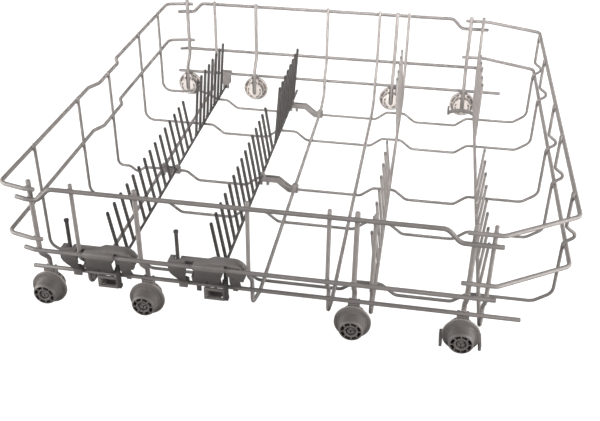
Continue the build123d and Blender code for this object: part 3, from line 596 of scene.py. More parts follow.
def upright_welds(x, side, wires):
    """Welds of an upright to the rails that it crosses."""
    rear_end, front_start = JOGGLE_XS
    lowered = x < rear_end or x > front_start
    levels = [TOP_RAIL_Z - RAIL_DROP if lowered else TOP_RAIL_Z, MID_RAIL_Z]
    if x < rear_end:
        levels += [END_TOP_RAIL_Z, REAR_MID_RAIL_Z]
    if x > front_start:
        levels += [END_TOP_RAIL_Z, FRONT_MID_RAIL_Z]
    rail_face = SIDE_RAIL_Y - millimetres(wires.rail_d) / 2
    low_face = BOTTOM_RAIL_Y - millimetres(wires.bottom_rail_d) / 2
    places = [(x, side * rail_face, z) for z in levels] + [(x, side * low_face, BOTTOM_RAIL_Z)]
    return [(place, ALONG_Z, ALONG_X) for place in places]


def cross_welds(number, wires):
    """Welds of a cross wire to the floor wires that it lies on."""
    z = FLOOR_Z + millimetres(wires.floor_d) / 2
    if number in LOW_CROSS_WIRES:
        z -= FLOOR_DIP
    ys = list(FLOOR_WIRE_YS)
    if number == 1:
        ys.pop(RAISED_FLOOR_WIRE - 1)
    return [((CROSS_WIRE_XS[number - 1], y, z), ALONG_Y, ALONG_X) for y in ys]


def floor_welds(number, wires):
    """Welds of a floor wire's upturned ends to the end rails."""
    y = FLOOR_WIRE_YS[number - 1]
    rear_x = REAR_RAIL_X + millimetres(wires.rail_d) / 2
    if number == RECESSED_FLOOR_WIRE:
        rear_x += RECESS_DEPTH
    front_x = FRONT_RAIL_X - millimetres(wires.rail_d) / 2
    places = [(rear_x, y, END_TOP_RAIL_Z), (rear_x, y, REAR_MID_RAIL_Z)]
    places += [(front_x, y, END_TOP_RAIL_Z), (front_x, y, FRONT_MID_RAIL_Z)]
    return [(place, ALONG_Z, ALONG_Y) for place in places]


# Finishes
def new_material(name):
    """A material with nodes, and its shader."""
    material = bpy.data.materials.new(name)
    material.use_nodes = True
    return material, material.node_tree.nodes["Principled BSDF"]


def grain(tree, scale, detail):
    """Fine noise that follows the piece."""
    place = tree.nodes.new("ShaderNodeTexCoord")
    noise = tree.nodes.new("ShaderNodeTexNoise")
    noise.inputs["Scale"].default_value = scale
    noise.inputs["Detail"].default_value = detail
    tree.links.new(place.outputs["Object"], noise.inputs["Vector"])
    return noise


def vary(tree, shader, socket, noise, low, high):
    """Let a socket of the shader run between two values with the noise."""
    span = tree.nodes.new("ShaderNodeMapRange")
    span.inputs["From Min"].default_value = NOISE_SPAN[0]
    span.inputs["From Max"].default_value = NOISE_SPAN[1]
    span.inputs["To Min"].default_value = low
    span.inputs["To Max"].default_value = high
    tree.links.new(noise.outputs["Fac"], span.inputs["Value"])
    tree.links.new(span.outputs["Result"], shader.inputs[socket])


def tint(tree, shader, noise, colour, low, high):
    """Let the base colour run between a darker and a lighter tone."""
    ramp = tree.nodes.new("ShaderNodeValToRGB")
    for element, place, share in zip(ramp.color_ramp.elements, NOISE_SPAN, (low, high)):
        element.position = place
        element.color = (*[c * share for c in colour], 1)
    tree.links.new(noise.outputs["Fac"], ramp.inputs["Fac"])
    tree.links.new(ramp.outputs["Color"], shader.inputs["Base Color"])


def roughen(tree, shader, noise, strength, height):
    """Small bumps in the surface."""
    bump = tree.nodes.new("ShaderNodeBump")
    bump.inputs["Strength"].default_value = strength
    bump.inputs["Distance"].default_value = height
    tree.links.new(noise.outputs["Fac"], bump.inputs["Height"])
    tree.links.new(bump.outputs["Normal"], shader.inputs["Normal"])


def multiply_colour(tree, shader):
    """Multiply the shader's colour so far by a second one, and return the node that does it."""
    coloured = shader.inputs["Base Color"].links[0].from_socket
    mix = tree.nodes.new("ShaderNodeMix")
    mix.data_type = "RGBA"
    mix.blend_type = "MULTIPLY"
    mix.inputs["Factor"].default_value = 1.0
    tree.links.new(coloured, mix.inputs[MIX_FIRST])
    tree.links.new(mix.outputs[MIX_RESULT], shader.inputs["Base Color"])
    return mix


def shade_marked(tree, shader, share):
    """Change the tone where the piece is marked: darker dipped tips, painted light on the wheels' and
    holders' inner faces, and painted shadow along the clips' lips.
    """
    mix = multiply_colour(tree, shader)
    mix.inputs[MIX_SECOND].default_value = (share, share, share, 1)
    mark = tree.nodes.new("ShaderNodeAttribute")
    mark.attribute_name = "mark"
    tree.links.new(mark.outputs["Fac"], mix.inputs["Factor"])


def paint_shade_by_height(tree, shader, heights, shares):
    """Paint shade on a moulding by its height, darker on its recessed skirt and lighter at its top."""
    place = tree.nodes.new("ShaderNodeTexCoord")
    height = tree.nodes.new("ShaderNodeSeparateXYZ")
    ramp = tree.nodes.new("ShaderNodeValToRGB")
    stops = ramp.color_ramp.elements
    for z, share in zip(heights[1:-1], shares[1:-1]):
        stops.new(z * SHADE_SCALE).color = (share, share, share, 1)
    for stop, z, share in zip((stops[0], stops[-1]), (heights[0], heights[-1]), (shares[0], shares[-1])):
        stop.position = z * SHADE_SCALE
        stop.color = (share, share, share, 1)
    scaled = tree.nodes.new("ShaderNodeMath")
    scaled.operation = "MULTIPLY"
    scaled.inputs[1].default_value = SHADE_SCALE / MM
    tree.links.new(place.outputs["Object"], height.inputs["Vector"])
    tree.links.new(height.outputs["Z"], scaled.inputs[0])
    tree.links.new(scaled.outputs["Value"], ramp.inputs["Fac"])
    tree.links.new(ramp.outputs["Color"], multiply_colour(tree, shader).inputs[MIX_SECOND])


def finish_material(name, colour, marked_share, finish):
    """The material of that name, made the first time that it is asked for."""
    if name in bpy.data.materials:
        return bpy.data.materials[name]
    material, shader = new_material(name)
    tree = material.node_tree
    patches = grain(tree, *finish["patches"])
    bumps = grain(tree, *finish["bumps"])
    tint(tree, shader, patches, colour, *TONE_SPAN)
    shade_marked(tree, shader, marked_share)
    vary(tree, shader, "Roughness", patches, *finish["roughness"])
    roughen(tree, shader, bumps, *finish["relief"])
    shader.inputs["Specular IOR Level"].default_value = finish["shine"]
    return material


def coat_material(name, colour):
    """Satin nylon coat on wire, a little uneven."""
    return finish_material(name, colour, TIP_SHARE, COAT_FINISH)


def plastic_material(name, colour, marked_share=1.0):
    """Moulded plastic with a fine eroded grain."""
    return finish_material(name, colour, marked_share, PLASTIC_FINISH)


# Rails
class BASKET_OT_side_rails(Operator):
    """Top, middle and bottom rails of both sides"""

    bl_idname = "basket.side_rails"
    bl_label = "Side rails"

    def execute(self, context):
        wires = context.scene.basket_wires
        gentle = millimetres(wires.gentle_bend)
        for name, side in SIDES.items():
            for level in ("top", "mid"):
                points = side_rail_points(side, level)
                node = f"{name}_{level}_rail"
                # The side rails get the darker copy of the coat, painted shade
                coated_wire(node, points, [gentle] * len(points), wires.rail_d, coat=shaded_rail_coat(wires))
            ends = [(x, side * BOTTOM_RAIL_Y, BOTTOM_RAIL_Z) for x in BOTTOM_RAIL_ENDS]
            coated_wire(f"{name}_bottom_rail", ends, [], wires.bottom_rail_d, coat=shaded_rail_coat(wires))
        return {"FINISHED"}


class BASKET_OT_end_rails(Operator):
    """Rear and front rails, bent to a U"""

    bl_idname = "basket.end_rails"
    bl_label = "End rails"

    def execute(self, context):
        wires = context.scene.basket_wires
        corner = millimetres(wires.corner_bend)
        rails = {
            "rear_top_rail": rear_rail_points(END_TOP_RAIL_Z),
            "rear_mid_rail": rear_rail_points(REAR_MID_RAIL_Z),
            "front_top_rail": front_rail_points(END_TOP_RAIL_Z),
            "front_mid_rail": front_rail_points(FRONT_MID_RAIL_Z),
        }
        for node, points in rails.items():
            coated_wire(node, points, [corner] * len(points), wires.rail_d - 2 * wires.coat)
        return {"FINISHED"}


class BASKET_OT_floor_wires(Operator):
    """Floor wires with their ramps and upturned ends"""

    bl_idname = "basket.floor_wires"
    bl_label = "Floor wires"

    def execute(self, context):
        wires = context.scene.basket_wires
        for number, y in enumerate(FLOOR_WIRE_YS, start=1):
            corners, bends = floor_route(number, wires)
            points = [(x, y, z) for x, z in corners]
            welds = floor_welds(number, wires)
            # The floor wires get the darker copy of the coat, painted shade
            coated_wire(f"floor_wire_{number}", points, bends, wires.floor_d, welds, shaded_rail_coat(wires))
        return {"FINISHED"}


class BASKET_OT_cross_wires(Operator):
    """Cross wires and the uprights that they turn into"""

    bl_idname = "basket.cross_wires"
    bl_label = "Cross wires"

    def execute(self, context):
        wires = context.scene.basket_wires
        gentle, foot = millimetres(wires.gentle_bend), millimetres(wires.foot_bend)
        top_y, low_y = beside_rails(wires, wires.cross_d)
        for number, x in enumerate(CROSS_WIRE_XS, start=1):
            left = upright_points(x, -1, top_y, low_y) + [(x, -low_y, cross_level(wires))]
            bends = [gentle, gentle, foot * CROSS_FOOT_SHARE]
            if number in LOW_CROSS_WIRES:
                left.append((x, -LOW_CROSS_Y, cross_level(wires) - FLOOR_DIP))
                bends.append(foot)
            right = [(px, -py, pz) for px, py, pz in reversed(left)]
            welds = cross_welds(number, wires) + upright_welds(x, -1, wires) + upright_welds(x, 1, wires)
            coated_wire(f"cross_wire_{number}", left + right, bends + bends[::-1], wires.cross_d, welds)
        return {"FINISHED"}


class BASKET_OT_wheel_wires(Operator):
    """Thicker uprights that carry the wheels"""

    bl_idname = "basket.wheel_wires"
    bl_label = "Wheel wires"

    def execute(self, context):
        wires = context.scene.basket_wires
        gentle = millimetres(wires.gentle_bend)
        top_y, low_y = beside_rails(wires, wires.wheel_wire_d)
        for name, side in SIDES.items():
            for number, x in enumerate(WHEEL_WIRE_XS, start=1):
                points = upright_points(x, side, top_y, low_y) + [(x, side * low_y, WHEEL_WIRE_END_Z)]
                welds = upright_welds(x, side, wires)
                coated_wire(f"{name}_wheel_wire_{number}", points, [gentle] * 2, wires.wheel_wire_d, welds)
        return {"FINISHED"}


# Tines
def marked_mesh():
    """An empty mesh with a mark for the points that have another tone."""
    mesh = bmesh.new()
    mesh.verts.layers.float.new("mark")
    return mesh


def add_tines(mesh, places, diameter, base_z, wire_r, top_z, lean):
    """Tines at each (x, y), with their feet sunk in the wire below, a collar of coating and round tips."""
    wires = bpy.context.scene.basket_wires
    radius = millimetres(diameter) / 2
    thick = radius + millimetres(wires.coat)
    dipped = mesh.verts.layers.float["mark"]
    for x, y in places:
        foot = Vector((x, y, base_z))
        tip = Vector((x + (top_z - base_z) * tan(lean), y, top_z))
        down = (foot - tip).normalized()
        path = [foot, (foot + tip) / 2, tip + down * (TIP_DIP + TIP_EDGE), tip + down * TIP_DIP, tip]
        rings = add_tube(mesh, path, thick, wires.sides, (0, thick))
        for ring in rings[-TIP_RINGS - 1 :]:
            for vert in ring:
                vert[dipped] = 1.0
        collar = foot + Vector((0, 0, wire_r))
        reach = radius * wires.weld_reach
        stretched = reach * COLLAR_STRETCH
        add_bead(mesh, collar, Vector(ALONG_Y), Vector(ALONG_X), stretched, reach, radius)


class BASKET_OT_fixed_tines(Operator):
    """Rows of tines welded to the cross wires"""

    bl_idname = "basket.fixed_tines"
    bl_label = "Fixed tines"

    def execute(self, context):
        wires, tines = context.scene.basket_wires, context.scene.basket_tines
        base_z = cross_level(wires)
        wire_r = millimetres(wires.cross_d) / 2
        coat = coat_material("wire_coat", wires.colour)
        for row, (wire, near_lean, far_lean) in FIXED_ROWS.items():
            x = CROSS_WIRE_XS[wire - 1]
            near = [(x, FIXED_NEAR_Y + FIXED_NEAR_PITCH * i) for i in range(tines.near_count)]
            far = [(x, FIXED_FAR_Y + FIXED_FAR_PITCH * i) for i in range(tines.far_count)]
            mesh = marked_mesh()
            near_top, far_top = millimetres(tines.fixed_near_top), millimetres(tines.fixed_far_top)
            add_tines(mesh, near, tines.fixed_d, base_z, wire_r, near_top, radians(near_lean))
            add_tines(mesh, far, tines.fixed_d, base_z, wire_r, far_top, radians(far_lean))
            node = f"{row}_fixed_tines"
            finish_piece(f"coated_{node}", mesh, "basket", coat, [node])
        return {"FINISHED"}


class BASKET_OT_folding_tines(Operator):
    """Rows of tines on a rod that turns"""

    bl_idname = "basket.folding_tines"
    bl_label = "Folding tines"

    def execute(self, context):
        wires, tines = context.scene.basket_wires, context.scene.basket_tines
        rod_z = FLOOR_Z + millimetres(wires.floor_d + tines.rod_d) / 2 + ROD_GAP
        coat = coat_material("folding_coat", wires.dark_colour)
        for row, x in ROD_XS.items():
            count = tines.short_count + tines.tall_count
            places = [(x, TINE_FIRST_Y + TINE_PITCH * i) for i in range(count)]
            short, tall = places[: tines.short_count], places[tines.short_count :]
            mesh = marked_mesh()
            near_y, far_y = ROD_ENDS[row]
            rod = [Vector((x, near_y, rod_z)), Vector((x, 0, rod_z)), Vector((x, far_y, rod_z))]
            radius = millimetres(tines.rod_d) / 2
            add_tube(mesh, rod, radius, wires.sides, (0, radius * END_ROUND))
            short_top, tall_top = millimetres(tines.short_top), millimetres(tines.tall_top)
            add_tines(mesh, short, tines.folding_d, rod_z, radius, short_top, tines.short_lean)
            add_tines(mesh, tall, tines.folding_d, rod_z, radius, tall_top, tines.tall_lean)
            node = f"{row}_folding_tines"
            finish_piece(f"coated_{node}", mesh, f"{row}_tines", coat, [node])
        return {"FINISHED"}


# Mouldings
def settle(mesh):
    """Pack the mesh's points and faces anew, so that what is added next has the same order in each run."""
    data = bpy.data.meshes.new("settled")
    mesh.to_mesh(data)
    mesh.clear()
    mesh.from_mesh(data)
    bpy.data.meshes.remove(data)


def round_edges(mesh):
    """Round the edges where a moulding's faces meet at an angle."""
    edges = [e for e in mesh.edges if len(e.link_faces) == 2 and e.calc_face_angle() > ROUNDED_FROM]
    edge = bpy.context.scene.basket_mouldings.edge
    bmesh.ops.bevel(
        mesh, geom=edges, offset=edge, segments=2, profile=0.5, affect="EDGES", clamp_overlap=True)
    settle(mesh)


def softened_mesh(node):
    """A moulding's mesh as its node gives it, with its edges rounded."""
    mesh = bmesh.new()
    mesh.from_mesh(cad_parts[node].data)
    mesh.verts.layers.float.new("mark")
    bmesh.ops.remove_doubles(mesh, verts=mesh.verts, dist=MERGE_GAP * MM)
    bmesh.ops.dissolve_limit(mesh, angle_limit=FLAT_UNDER, verts=mesh.verts, edges=mesh.edges)
    round_edges(mesh)
    return mesh


def moulded(node, mesh, body, material, sharp=MOULDING_SHARP):
    """A moulding in the place of its node."""
    return finish_piece(f"moulded_{node}", mesh, body, material, [node], sharp)


def softened(node, body, material):
    """A moulding in the place of its node, with its edges rounded."""
    return moulded(node, softened_mesh(node), body, material)


def add_clip_detail(mesh, y, corners):
    """A dark strip along a clip's open top, painted shadow of the open channel, and the two tabs under its
    end at the rod.
    """
    wires = bpy.context.scene.basket_wires
    marked = mesh.verts.layers.float["mark"]
    half_d = millimetres(wires.floor_d) / 2
    path = [Vector((x, y - LIP_SIDE, z + half_d + CLIP_WALL)) for x, z in corners]
    for ring in add_tube(mesh, path, LIP_R, LIP_FACES, (LIP_R, LIP_R)):
        for vert in ring:
            vert[marked] = 1.0
    start_x, start_z = corners[0]
    high = start_z - half_d - CLIP_WALL + CLIP_TAB_SINK
    near_y, far_y = y - CLIP_TAB_HALF, y + CLIP_TAB_HALF
    for tab_x in CLIP_TAB_XS:
        left, right = start_x + tab_x, start_x + tab_x + CLIP_TAB_WIDTH
        base = [(left, near_y), (right, near_y), (right, far_y), (left, far_y)]
        add_stack(mesh, [[(px, py, z) for px, py in base] for z in (high - CLIP_TAB_DROP, high)])


class BASKET_OT_brackets(Operator):
    """Brackets that carry the folding rows"""

    bl_idname = "basket.brackets"
    bl_label = "Fold brackets"

    def execute(self, context):
        plastic = plastic_material("bracket_plastic", context.scene.basket_mouldings.colour)
        # The brackets' tone changes with height: painted shade on the skirt and painted light at the top
        paint_shade_by_height(plastic.node_tree, plastic.node_tree.nodes["Principled BSDF"], SHADE_HEIGHTS, SHADE_SHARES)
        for row in ROD_XS:
            softened(f"{row}_fold_bracket", "basket", plastic)
        return {"FINISHED"}


class BASKET_OT_levers(Operator):
    """Release levers and the cranks that they lock"""

    bl_idname = "basket.levers"
    bl_label = "Levers and cranks"

    def execute(self, context):
        plastic = plastic_material("lever_plastic", context.scene.basket_mouldings.dark_colour)
        coat = coat_material("folding_coat", context.scene.basket_wires.dark_colour)
        for row in ROD_XS:
            softened(f"{row}_release_lever", f"{row}_lever", plastic)
            softened(f"{row}_lock_crank", f"{row}_tines", coat)
        return {"FINISHED"}


class BASKET_OT_clips(Operator):
    """Clips that carry the rods in the middle and at the far end"""

    bl_idname = "basket.clips"
    bl_label = "Rod clips"

    def execute(self, context):
        # The clips' marked lips are darkened: painted shadow
        plastic = plastic_material("clip_plastic", context.scene.basket_mouldings.clip_colour, LIP_SHADOW_SHARE)
        start_x, ramp_x = ROD_XS["middle"] + LIP_CLEAR, DIP_SPANS[1][0]
        ramp = [(start_x, FLOOR_Z), (ramp_x, FLOOR_Z), (ramp_x + DIP_RAMP, FLOOR_Z - FLOOR_DIP)]
        level_x, level_end = CROSS_WIRE_XS[0] + LIP_CLEAR, ROD_XS["rear"] - LIP_CLEAR
        level = [(x, FLOOR_Z) for x in (level_x, (level_x + level_end) / 2, level_end)]
        routes = {
            "rear_centre": (FLOOR_WIRE_YS[CENTRE_CLIP_WIRE - 1], level),
            "rear_right": None,
            "middle_centre": (FLOOR_WIRE_YS[CENTRE_CLIP_WIRE - 1], ramp),
            "middle_right": (FLOOR_WIRE_YS[RIGHT_CLIP_WIRE - 1], ramp),
        }
        for clip, route in routes.items():
            node = f"{clip}_clip"
            mesh = softened_mesh(node)
            if route:
                add_clip_detail(mesh, *route)
            moulded(node, mesh, "basket", plastic)
        return {"FINISHED"}


def axle_matrix(x, side, y):
    """Place of a wheel or holder: its z axis points outwards and its y axis up."""
    place = Matrix(((-side, 0, 0), (0, 0, side), (0, 1, 0))).to_4x4()
    place.translation = Vector((x, side * y, AXLE_Z)) * MM
    return place


def add_stack(mesh, loops):
    """A closed body between loops of points that follow one another."""
    rings = [[mesh.verts.new(Vector(point) * MM) for point in loop] for loop in loops]
    for ring, following in zip(rings, rings[1:]):
        for i in range(len(ring)):
            j = (i + 1) % len(ring)
            mesh.faces.new((ring[i], ring[j], following[j], following[i]))
    mesh.faces.new(rings[0][::-1])
    mesh.faces.new(rings[-1])


def holder_outline():
    """The holder's edge from the channel's right lip round the disc to its left lip."""
    neck = asin(NECK_HALF / HOLDER_R)
    turns = [pi / 2 - neck - (2 * pi - 2 * neck) * i / HOLDER_STEPS for i in range(HOLDER_STEPS + 1)]
    disc = [(HOLDER_R * cos(a), HOLDER_R * sin(a)) for a in turns]
    shoulder = [(CHANNEL_HALF, NECK_TOP), (NECK_HALF, NECK_TOP)]
    return shoulder + disc + [(-x, y) for x, y in reversed(shoulder)]


def channel_outline():
    """The channel for the wheel wire, from its left lip down and up to its right lip."""
    low, high = NOTCH_HEIGHTS
    left = [(-CHANNEL_HALF, high), (-NOTCH_HALF, high), (-NOTCH_HALF, low), (-CHANNEL_HALF, low)]
    turns = [pi + pi * i / CHANNEL_STEPS for i in range(CHANNEL_STEPS + 1)]
    bottom = [(CHANNEL_HALF * cos(a), CHANNEL_END + CHANNEL_HALF + CHANNEL_HALF * sin(a)) for a in turns]
    return left + bottom + [(-x, y) for x, y in reversed(left)]


def add_holder_body(mesh):
    """The disc and neck with the open channel at the inner side."""
    edge, channel = holder_outline(), channel_outline()
    inner = [mesh.verts.new(Vector((x, y, 0)) * MM) for x, y in edge + channel]
    outer = [mesh.verts.new(Vector((x, y, HOLDER_DEPTH)) * MM) for x, y in edge]
    trough = [edge[-1], *channel, edge[0]]
    floor = [mesh.verts.new(Vector((x, y, CHANNEL_DEPTH)) * MM) for x, y in trough]
    count = len(edge)
    mesh.faces.new(inner)
    mesh.faces.new(outer[::-1])
    mesh.faces.new(floor[::-1])
    mesh.faces.new((floor[0], floor[-1], outer[0], outer[-1]))
    mesh.faces.new((inner[0], floor[-1], outer[0], outer[1], inner[1]))
    mesh.faces.new((inner[count - 2], outer[-2], outer[-1], floor[0], inner[count - 1]))
    for i in range(1, count - 2):
        mesh.faces.new((inner[i], outer[i], outer[i + 1], inner[i + 1]))
    rim = inner[count - 1 :] + [inner[0]]
    for i in range(len(rim) - 1):
        mesh.faces.new((rim[i], rim[i + 1], floor[i + 1], floor[i]))


def add_axle(mesh):
    """The axle and its snap hooks."""
    ends = (HOLDER_DEPTH - AXLE_SINK, SLIT_START)
    circle = [(AXLE_R * cos(a), AXLE_R * sin(a)) for a in spokes(AXLE_STEPS)]
    add_stack(mesh, [[(x, y, z) for x, y in circle] for z in ends])
    levels = (
        (AXLE_R, SLIT_START - HOOK_SINK),
        (AXLE_R, HOOK_START),
        (HOOK_R, HOOK_START + HOOK_STEP),
        (HOOK_R, HOOK_START + HOOK_LAND),
        (HOOK_R - HOOK_TAPER, AXLE_END),
    )
    half_share = pi / HOOK_COUNT
    for hook in range(HOOK_COUNT):
        middle = radians(90 + 360 / HOOK_COUNT * hook)
        tip = Vector((cos(middle), sin(middle))) * (SLIT_HALF / sin(half_share))
        loops = []
        for radius, z in levels:
            half = half_share - asin(SLIT_HALF / radius)
            turns = [middle - half + 2 * half * i / HOOK_STEPS for i in range(HOOK_STEPS + 1)]
            loops.append([(tip.x, tip.y, z)] + [(radius * cos(a), radius * sin(a), z) for a in turns])
        add_stack(mesh, loops)


def add_ribs(mesh):
    """Short curved ribs round the channel on the inner face."""
    for first, last in RIB_TURNS:
        turns = [radians(first + (last - first) * i / RIB_STEPS) for i in range(RIB_STEPS + 1)]
        for side in (-1, 1):
            edges = [[(side * r * cos(a), r * sin(a)) for a in turns] for r in RIB_RADII]
            add_stack(mesh, [[(x, y, z) for x, y in edges[0] + edges[1][::-1]] for z in RIB_DEPTHS])


def add_guard(mesh):
    """The guard over the front wheels: an arc with a tab at each end."""
    turns = [GUARD_HALF_TURN * (2 * i / GUARD_STEPS - 1) for i in range(GUARD_STEPS + 1)]
    edges = [[(r * sin(a), GUARD_CENTRE + r * cos(a)) for a in turns] for r in GUARD_RADII]
    band = edges[0] + edges[1][::-1]
    add_stack(mesh, [[(x, y, z) for x, y in band] for z in GUARD_DEPTHS])
    for side in (-1, 1):
        left, right = side * TAB_X - TAB_HALF, side * TAB_X + TAB_HALF
        low, high = TAB_HEIGHTS
        corners = [(left, low), (right, low), (right, high), (left, high)]
        add_stack(mesh, [[(x, y, z) for x, y in corners] for z in TAB_DEPTHS])


class BASKET_OT_holders(Operator):
    """Holders that clip on the wheel wires, with the wheels' axles"""

    bl_idname = "basket.holders"
    bl_label = "Wheel holders"

    def execute(self, context):
        mouldings = context.scene.basket_mouldings
        plastic = plastic_material("holder_plastic", mouldings.colour, mouldings.inner_light_share)
        for name, side in SIDES.items():
            for number, x in enumerate(WHEEL_WIRE_XS, start=1):
                mesh = marked_mesh()
                add_holder_body(mesh)
                if number == len(WHEEL_WIRE_XS):
                    add_guard(mesh)
                bmesh.ops.recalc_face_normals(mesh, faces=mesh.faces)
                round_edges(mesh)
                add_axle(mesh)
                add_ribs(mesh)
                # The holder's inner face is marked for a lighter tone, painted light
                marked = mesh.verts.layers.float["mark"]
                for vert in mesh.verts:
                    vert[marked] = float(abs(vert.co.z) < mouldings.edge)
                mesh.transform(axle_matrix(x, side, HOLDER_Y))
                node = f"{name}_wheel_holder_{number}"
                moulded(node, mesh, "basket", plastic)
        return {"FINISHED"}


def add_circle(mesh, radius, height, columns):
    """A ring of vertices round the axle."""
    circle = [Vector((radius * cos(a), radius * sin(a), height)) for a in spokes(columns)]
    return [mesh.verts.new(point * MM) for point in circle]


def wheel_mesh(mouldings):
    """A wheel round its axle: flange, drum, slotted face and hub."""
    columns = mouldings.wheel_columns
    per_slot = columns // mouldings.wheel_slots
    profile = WHEEL_PROFILE
    floors = {
        profile.index((SLOT_R, WHEEL_FACE)): WHEEL_FACE - millimetres(mouldings.slot_depth),
        profile.index((POCKET_R, POCKET_FACE)): POCKET_FLOOR,
    }
    mesh = marked_mesh()
    marked = mesh.verts.layers.float["mark"]
    rings = [add_circle(mesh, radius, height, columns) for radius, height in profile]
    # The flange's inner face is marked for a lighter tone, painted light
    for ring, (radius, height) in zip(rings, profile):
        for vert in ring:
            vert[marked] = float(height <= POCKET_FACE and radius > HUB_R)
    for band in range(len(rings)):
        ring, following = rings[band], rings[(band + 1) % len(rings)]
        if band in floors:
            radii = [radius for radius, height in profile[band : band + 2]]
            floor = [add_circle(mesh, radius, floors[band], columns) for radius in radii]
        for i in range(columns):
            j = (i + 1) % columns
            if band not in floors or i % per_slot < RIB_COLUMNS:
                mesh.faces.new((ring[i], ring[j], following[j], following[i]))
                continue
            mesh.faces.new((floor[0][i], floor[0][j], floor[1][j], floor[1][i]))
            mesh.faces.new((ring[i], ring[j], floor[0][j], floor[0][i]))
            mesh.faces.new((following[i], following[j], floor[1][j], floor[1][i]))
            if i % per_slot == RIB_COLUMNS:
                mesh.faces.new((ring[i], following[i], floor[1][i], floor[0][i]))
            if i % per_slot == per_slot - 1:
                mesh.faces.new((ring[j], following[j], floor[1][j], floor[0][j]))
    loose = [v for v in mesh.verts if not v.link_faces]
    bmesh.ops.delete(mesh, geom=loose, context="VERTS")
    return mesh


class BASKET_OT_wheels(Operator):
    """Wheels with flange, drum and slotted face"""

    bl_idname = "basket.wheels"
    bl_label = "Wheels"

    def execute(self, context):
        mouldings = context.scene.basket_mouldings
        plastic = plastic_material("wheel_plastic", mouldings.wheel_colour, mouldings.inner_light_share)
        for name, side in SIDES.items():
            for number, x in enumerate(WHEEL_WIRE_XS, start=1):
                node = f"{name}_wheel_{number}"
                mesh = wheel_mesh(mouldings)
                mesh.transform(axle_matrix(x, side, WHEEL_Y))
                moulded(node, mesh, node, plastic, WHEEL_SHARP)
        return {"FINISHED"}


# Stage
def add_lamp(name, power, size, place, target, spread=pi):
    """A soft square lamp that looks at a point."""
    data = bpy.data.lights.new(name, "AREA")
    data.energy = power
    data.size = size
    data.spread = spread
    lamp = bpy.data.objects.new(name, data)
    lamp.visible_camera = False
    lamp.location = place
    lamp.rotation_euler = (Vector(target) - Vector(place)).to_track_quat("-Z", "Y").to_euler()
    bpy.context.scene.collection.objects.link(lamp)


def light_tent(tree, sky, stage):
    """Light from all round that fades from the walls to the ceiling, white where the camera looks at it."""
    outlook = tree.nodes.new("ShaderNodeTexCoord")
    height = tree.nodes.new("ShaderNodeSeparateXYZ")
    fade = tree.nodes.new("ShaderNodeMapRange")
    fade.inputs["From Max"].default_value = stage.tent_height
    fade.inputs["To Min"].default_value = stage.sky
    fade.inputs["To Max"].default_value = stage.ceiling
    rays = tree.nodes.new("ShaderNodeLightPath")
    seen = tree.nodes.new("ShaderNodeMix")
    seen.inputs["B"].default_value = 1.0
    tree.links.new(outlook.outputs["Generated"], height.inputs["Vector"])
    tree.links.new(height.outputs["Z"], fade.inputs["Value"])
    tree.links.new(rays.outputs["Is Camera Ray"], seen.inputs["Factor"])
    tree.links.new(fade.outputs["Result"], seen.inputs["A"])
    tree.links.new(seen.outputs["Result"], sky.inputs["Strength"])


def add_floor(scene, stage):
    """A wide pale floor that looks white to the camera."""
    mesh = bmesh.new()
    bmesh.ops.create_grid(mesh, x_segments=1, y_segments=1, size=FLOOR_REACH)
    data = bpy.data.meshes.new("floor")
    mesh.to_mesh(data)
    mesh.free()
    floor = bpy.data.objects.new("floor", data)
    scene.collection.objects.link(floor)
    material, shader = new_material("pale_floor")
    tree = material.node_tree
    shader.inputs["Base Color"].default_value = (*stage.floor_colour, 1)
    shader.inputs["Roughness"].default_value = FLOOR_ROUGHNESS
    shader.inputs["Specular IOR Level"].default_value = 0.0
    shader.inputs["Emission Color"].default_value = (1, 1, 1, 1)
    rays = tree.nodes.new("ShaderNodeLightPath")
    seen = tree.nodes.new("ShaderNodeMath")
    seen.operation = "MULTIPLY"
    seen.inputs[1].default_value = stage.floor_glow
    tree.links.new(rays.outputs["Is Camera Ray"], seen.inputs[0])
    tree.links.new(seen.outputs["Value"], shader.inputs["Emission Strength"])
    data.materials.append(material)


def add_world(scene, stage):
    """The studio's light from all round."""
    world = bpy.data.worlds.new("studio")
    scene.world = world
    world.use_nodes = True
    sky = world.node_tree.nodes["Background"]
    sky.inputs["Color"].default_value = (1, 1, 1, 1)
    light_tent(world.node_tree, sky, stage)


def add_camera(scene, stage):
    """The camera, set as the photo was taken."""
    data = bpy.data.cameras.new("camera")
    data.lens = stage.lens
    data.sensor_width = SENSOR_WIDTH
    data.shift_x, data.shift_y = stage.shift
    camera = bpy.data.objects.new("camera", data)
    camera.location = stage.place
    camera.rotation_euler = stage.turn
    scene.collection.objects.link(camera)
    scene.camera = camera
    scene.view_settings.view_transform = "Standard"


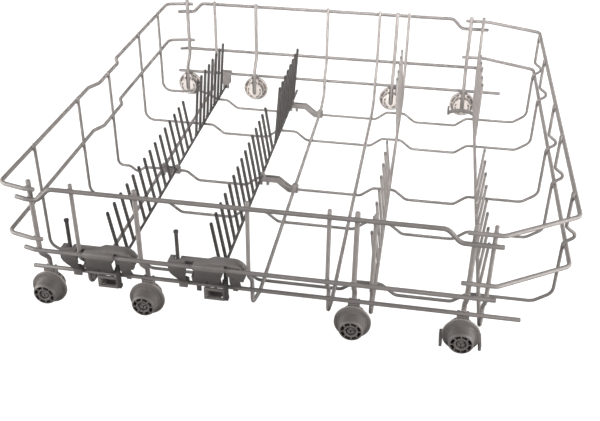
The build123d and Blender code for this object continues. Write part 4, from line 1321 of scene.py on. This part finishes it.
class BASKET_OT_stage(Operator):
    """Pale floor, soft lamps and the camera"""

    bl_idname = "basket.stage"
    bl_label = "Stage"

    def execute(self, context):
        scene = context.scene
        stage = scene.basket_stage
        add_floor(scene, stage)
        add_world(scene, stage)
        add_lamp("top_lamp", stage.top_power, *TOP_LAMP)
        add_lamp("left_lamp", stage.side_power, *LEFT_LAMP)
        add_lamp("right_lamp", stage.side_power, *RIGHT_LAMP)
        add_lamp("far_lamp", stage.far_power, *FAR_LAMP, stage.far_spread)
        add_camera(scene, stage)
        return {"FINISHED"}


class BASKET_PT_pieces(Panel):
    """Lists the steps that build the basket"""

    bl_label = "Basket"
    bl_idname = "BASKET_PT_pieces"
    bl_space_type = "VIEW_3D"
    bl_region_type = "UI"
    bl_category = "Basket"

    def draw(self, context):
        for step in STEPS:
            self.layout.operator(step.bl_idname)


STEPS = (
    BASKET_OT_side_rails,
    BASKET_OT_end_rails,
    BASKET_OT_floor_wires,
    BASKET_OT_cross_wires,
    BASKET_OT_wheel_wires,
    BASKET_OT_fixed_tines,
    BASKET_OT_folding_tines,
    BASKET_OT_brackets,
    BASKET_OT_levers,
    BASKET_OT_clips,
    BASKET_OT_holders,
    BASKET_OT_wheels,
    BASKET_OT_stage,
)
SETTINGS = {
    "basket_wires": WireSettings,
    "basket_tines": TineSettings,
    "basket_mouldings": MouldingSettings,
    "basket_stage": StageSettings,
}


def register():
    for group in SETTINGS.values():
        bpy.utils.register_class(group)
    for name, group in SETTINGS.items():
        setattr(bpy.types.Scene, name, PointerProperty(type=group))
    for step in STEPS:
        bpy.utils.register_class(step)
    bpy.utils.register_class(BASKET_PT_pieces)


def unregister():
    bpy.utils.unregister_class(BASKET_PT_pieces)
    for step in reversed(STEPS):
        bpy.utils.unregister_class(step)
    for name, group in SETTINGS.items():
        delattr(bpy.types.Scene, name)
        bpy.utils.unregister_class(group)


def main():
    register()
    for step in STEPS:
        group, name = step.bl_idname.split(".")
        getattr(getattr(bpy.ops, group), name)()


if __name__ == "__main__":
    main()
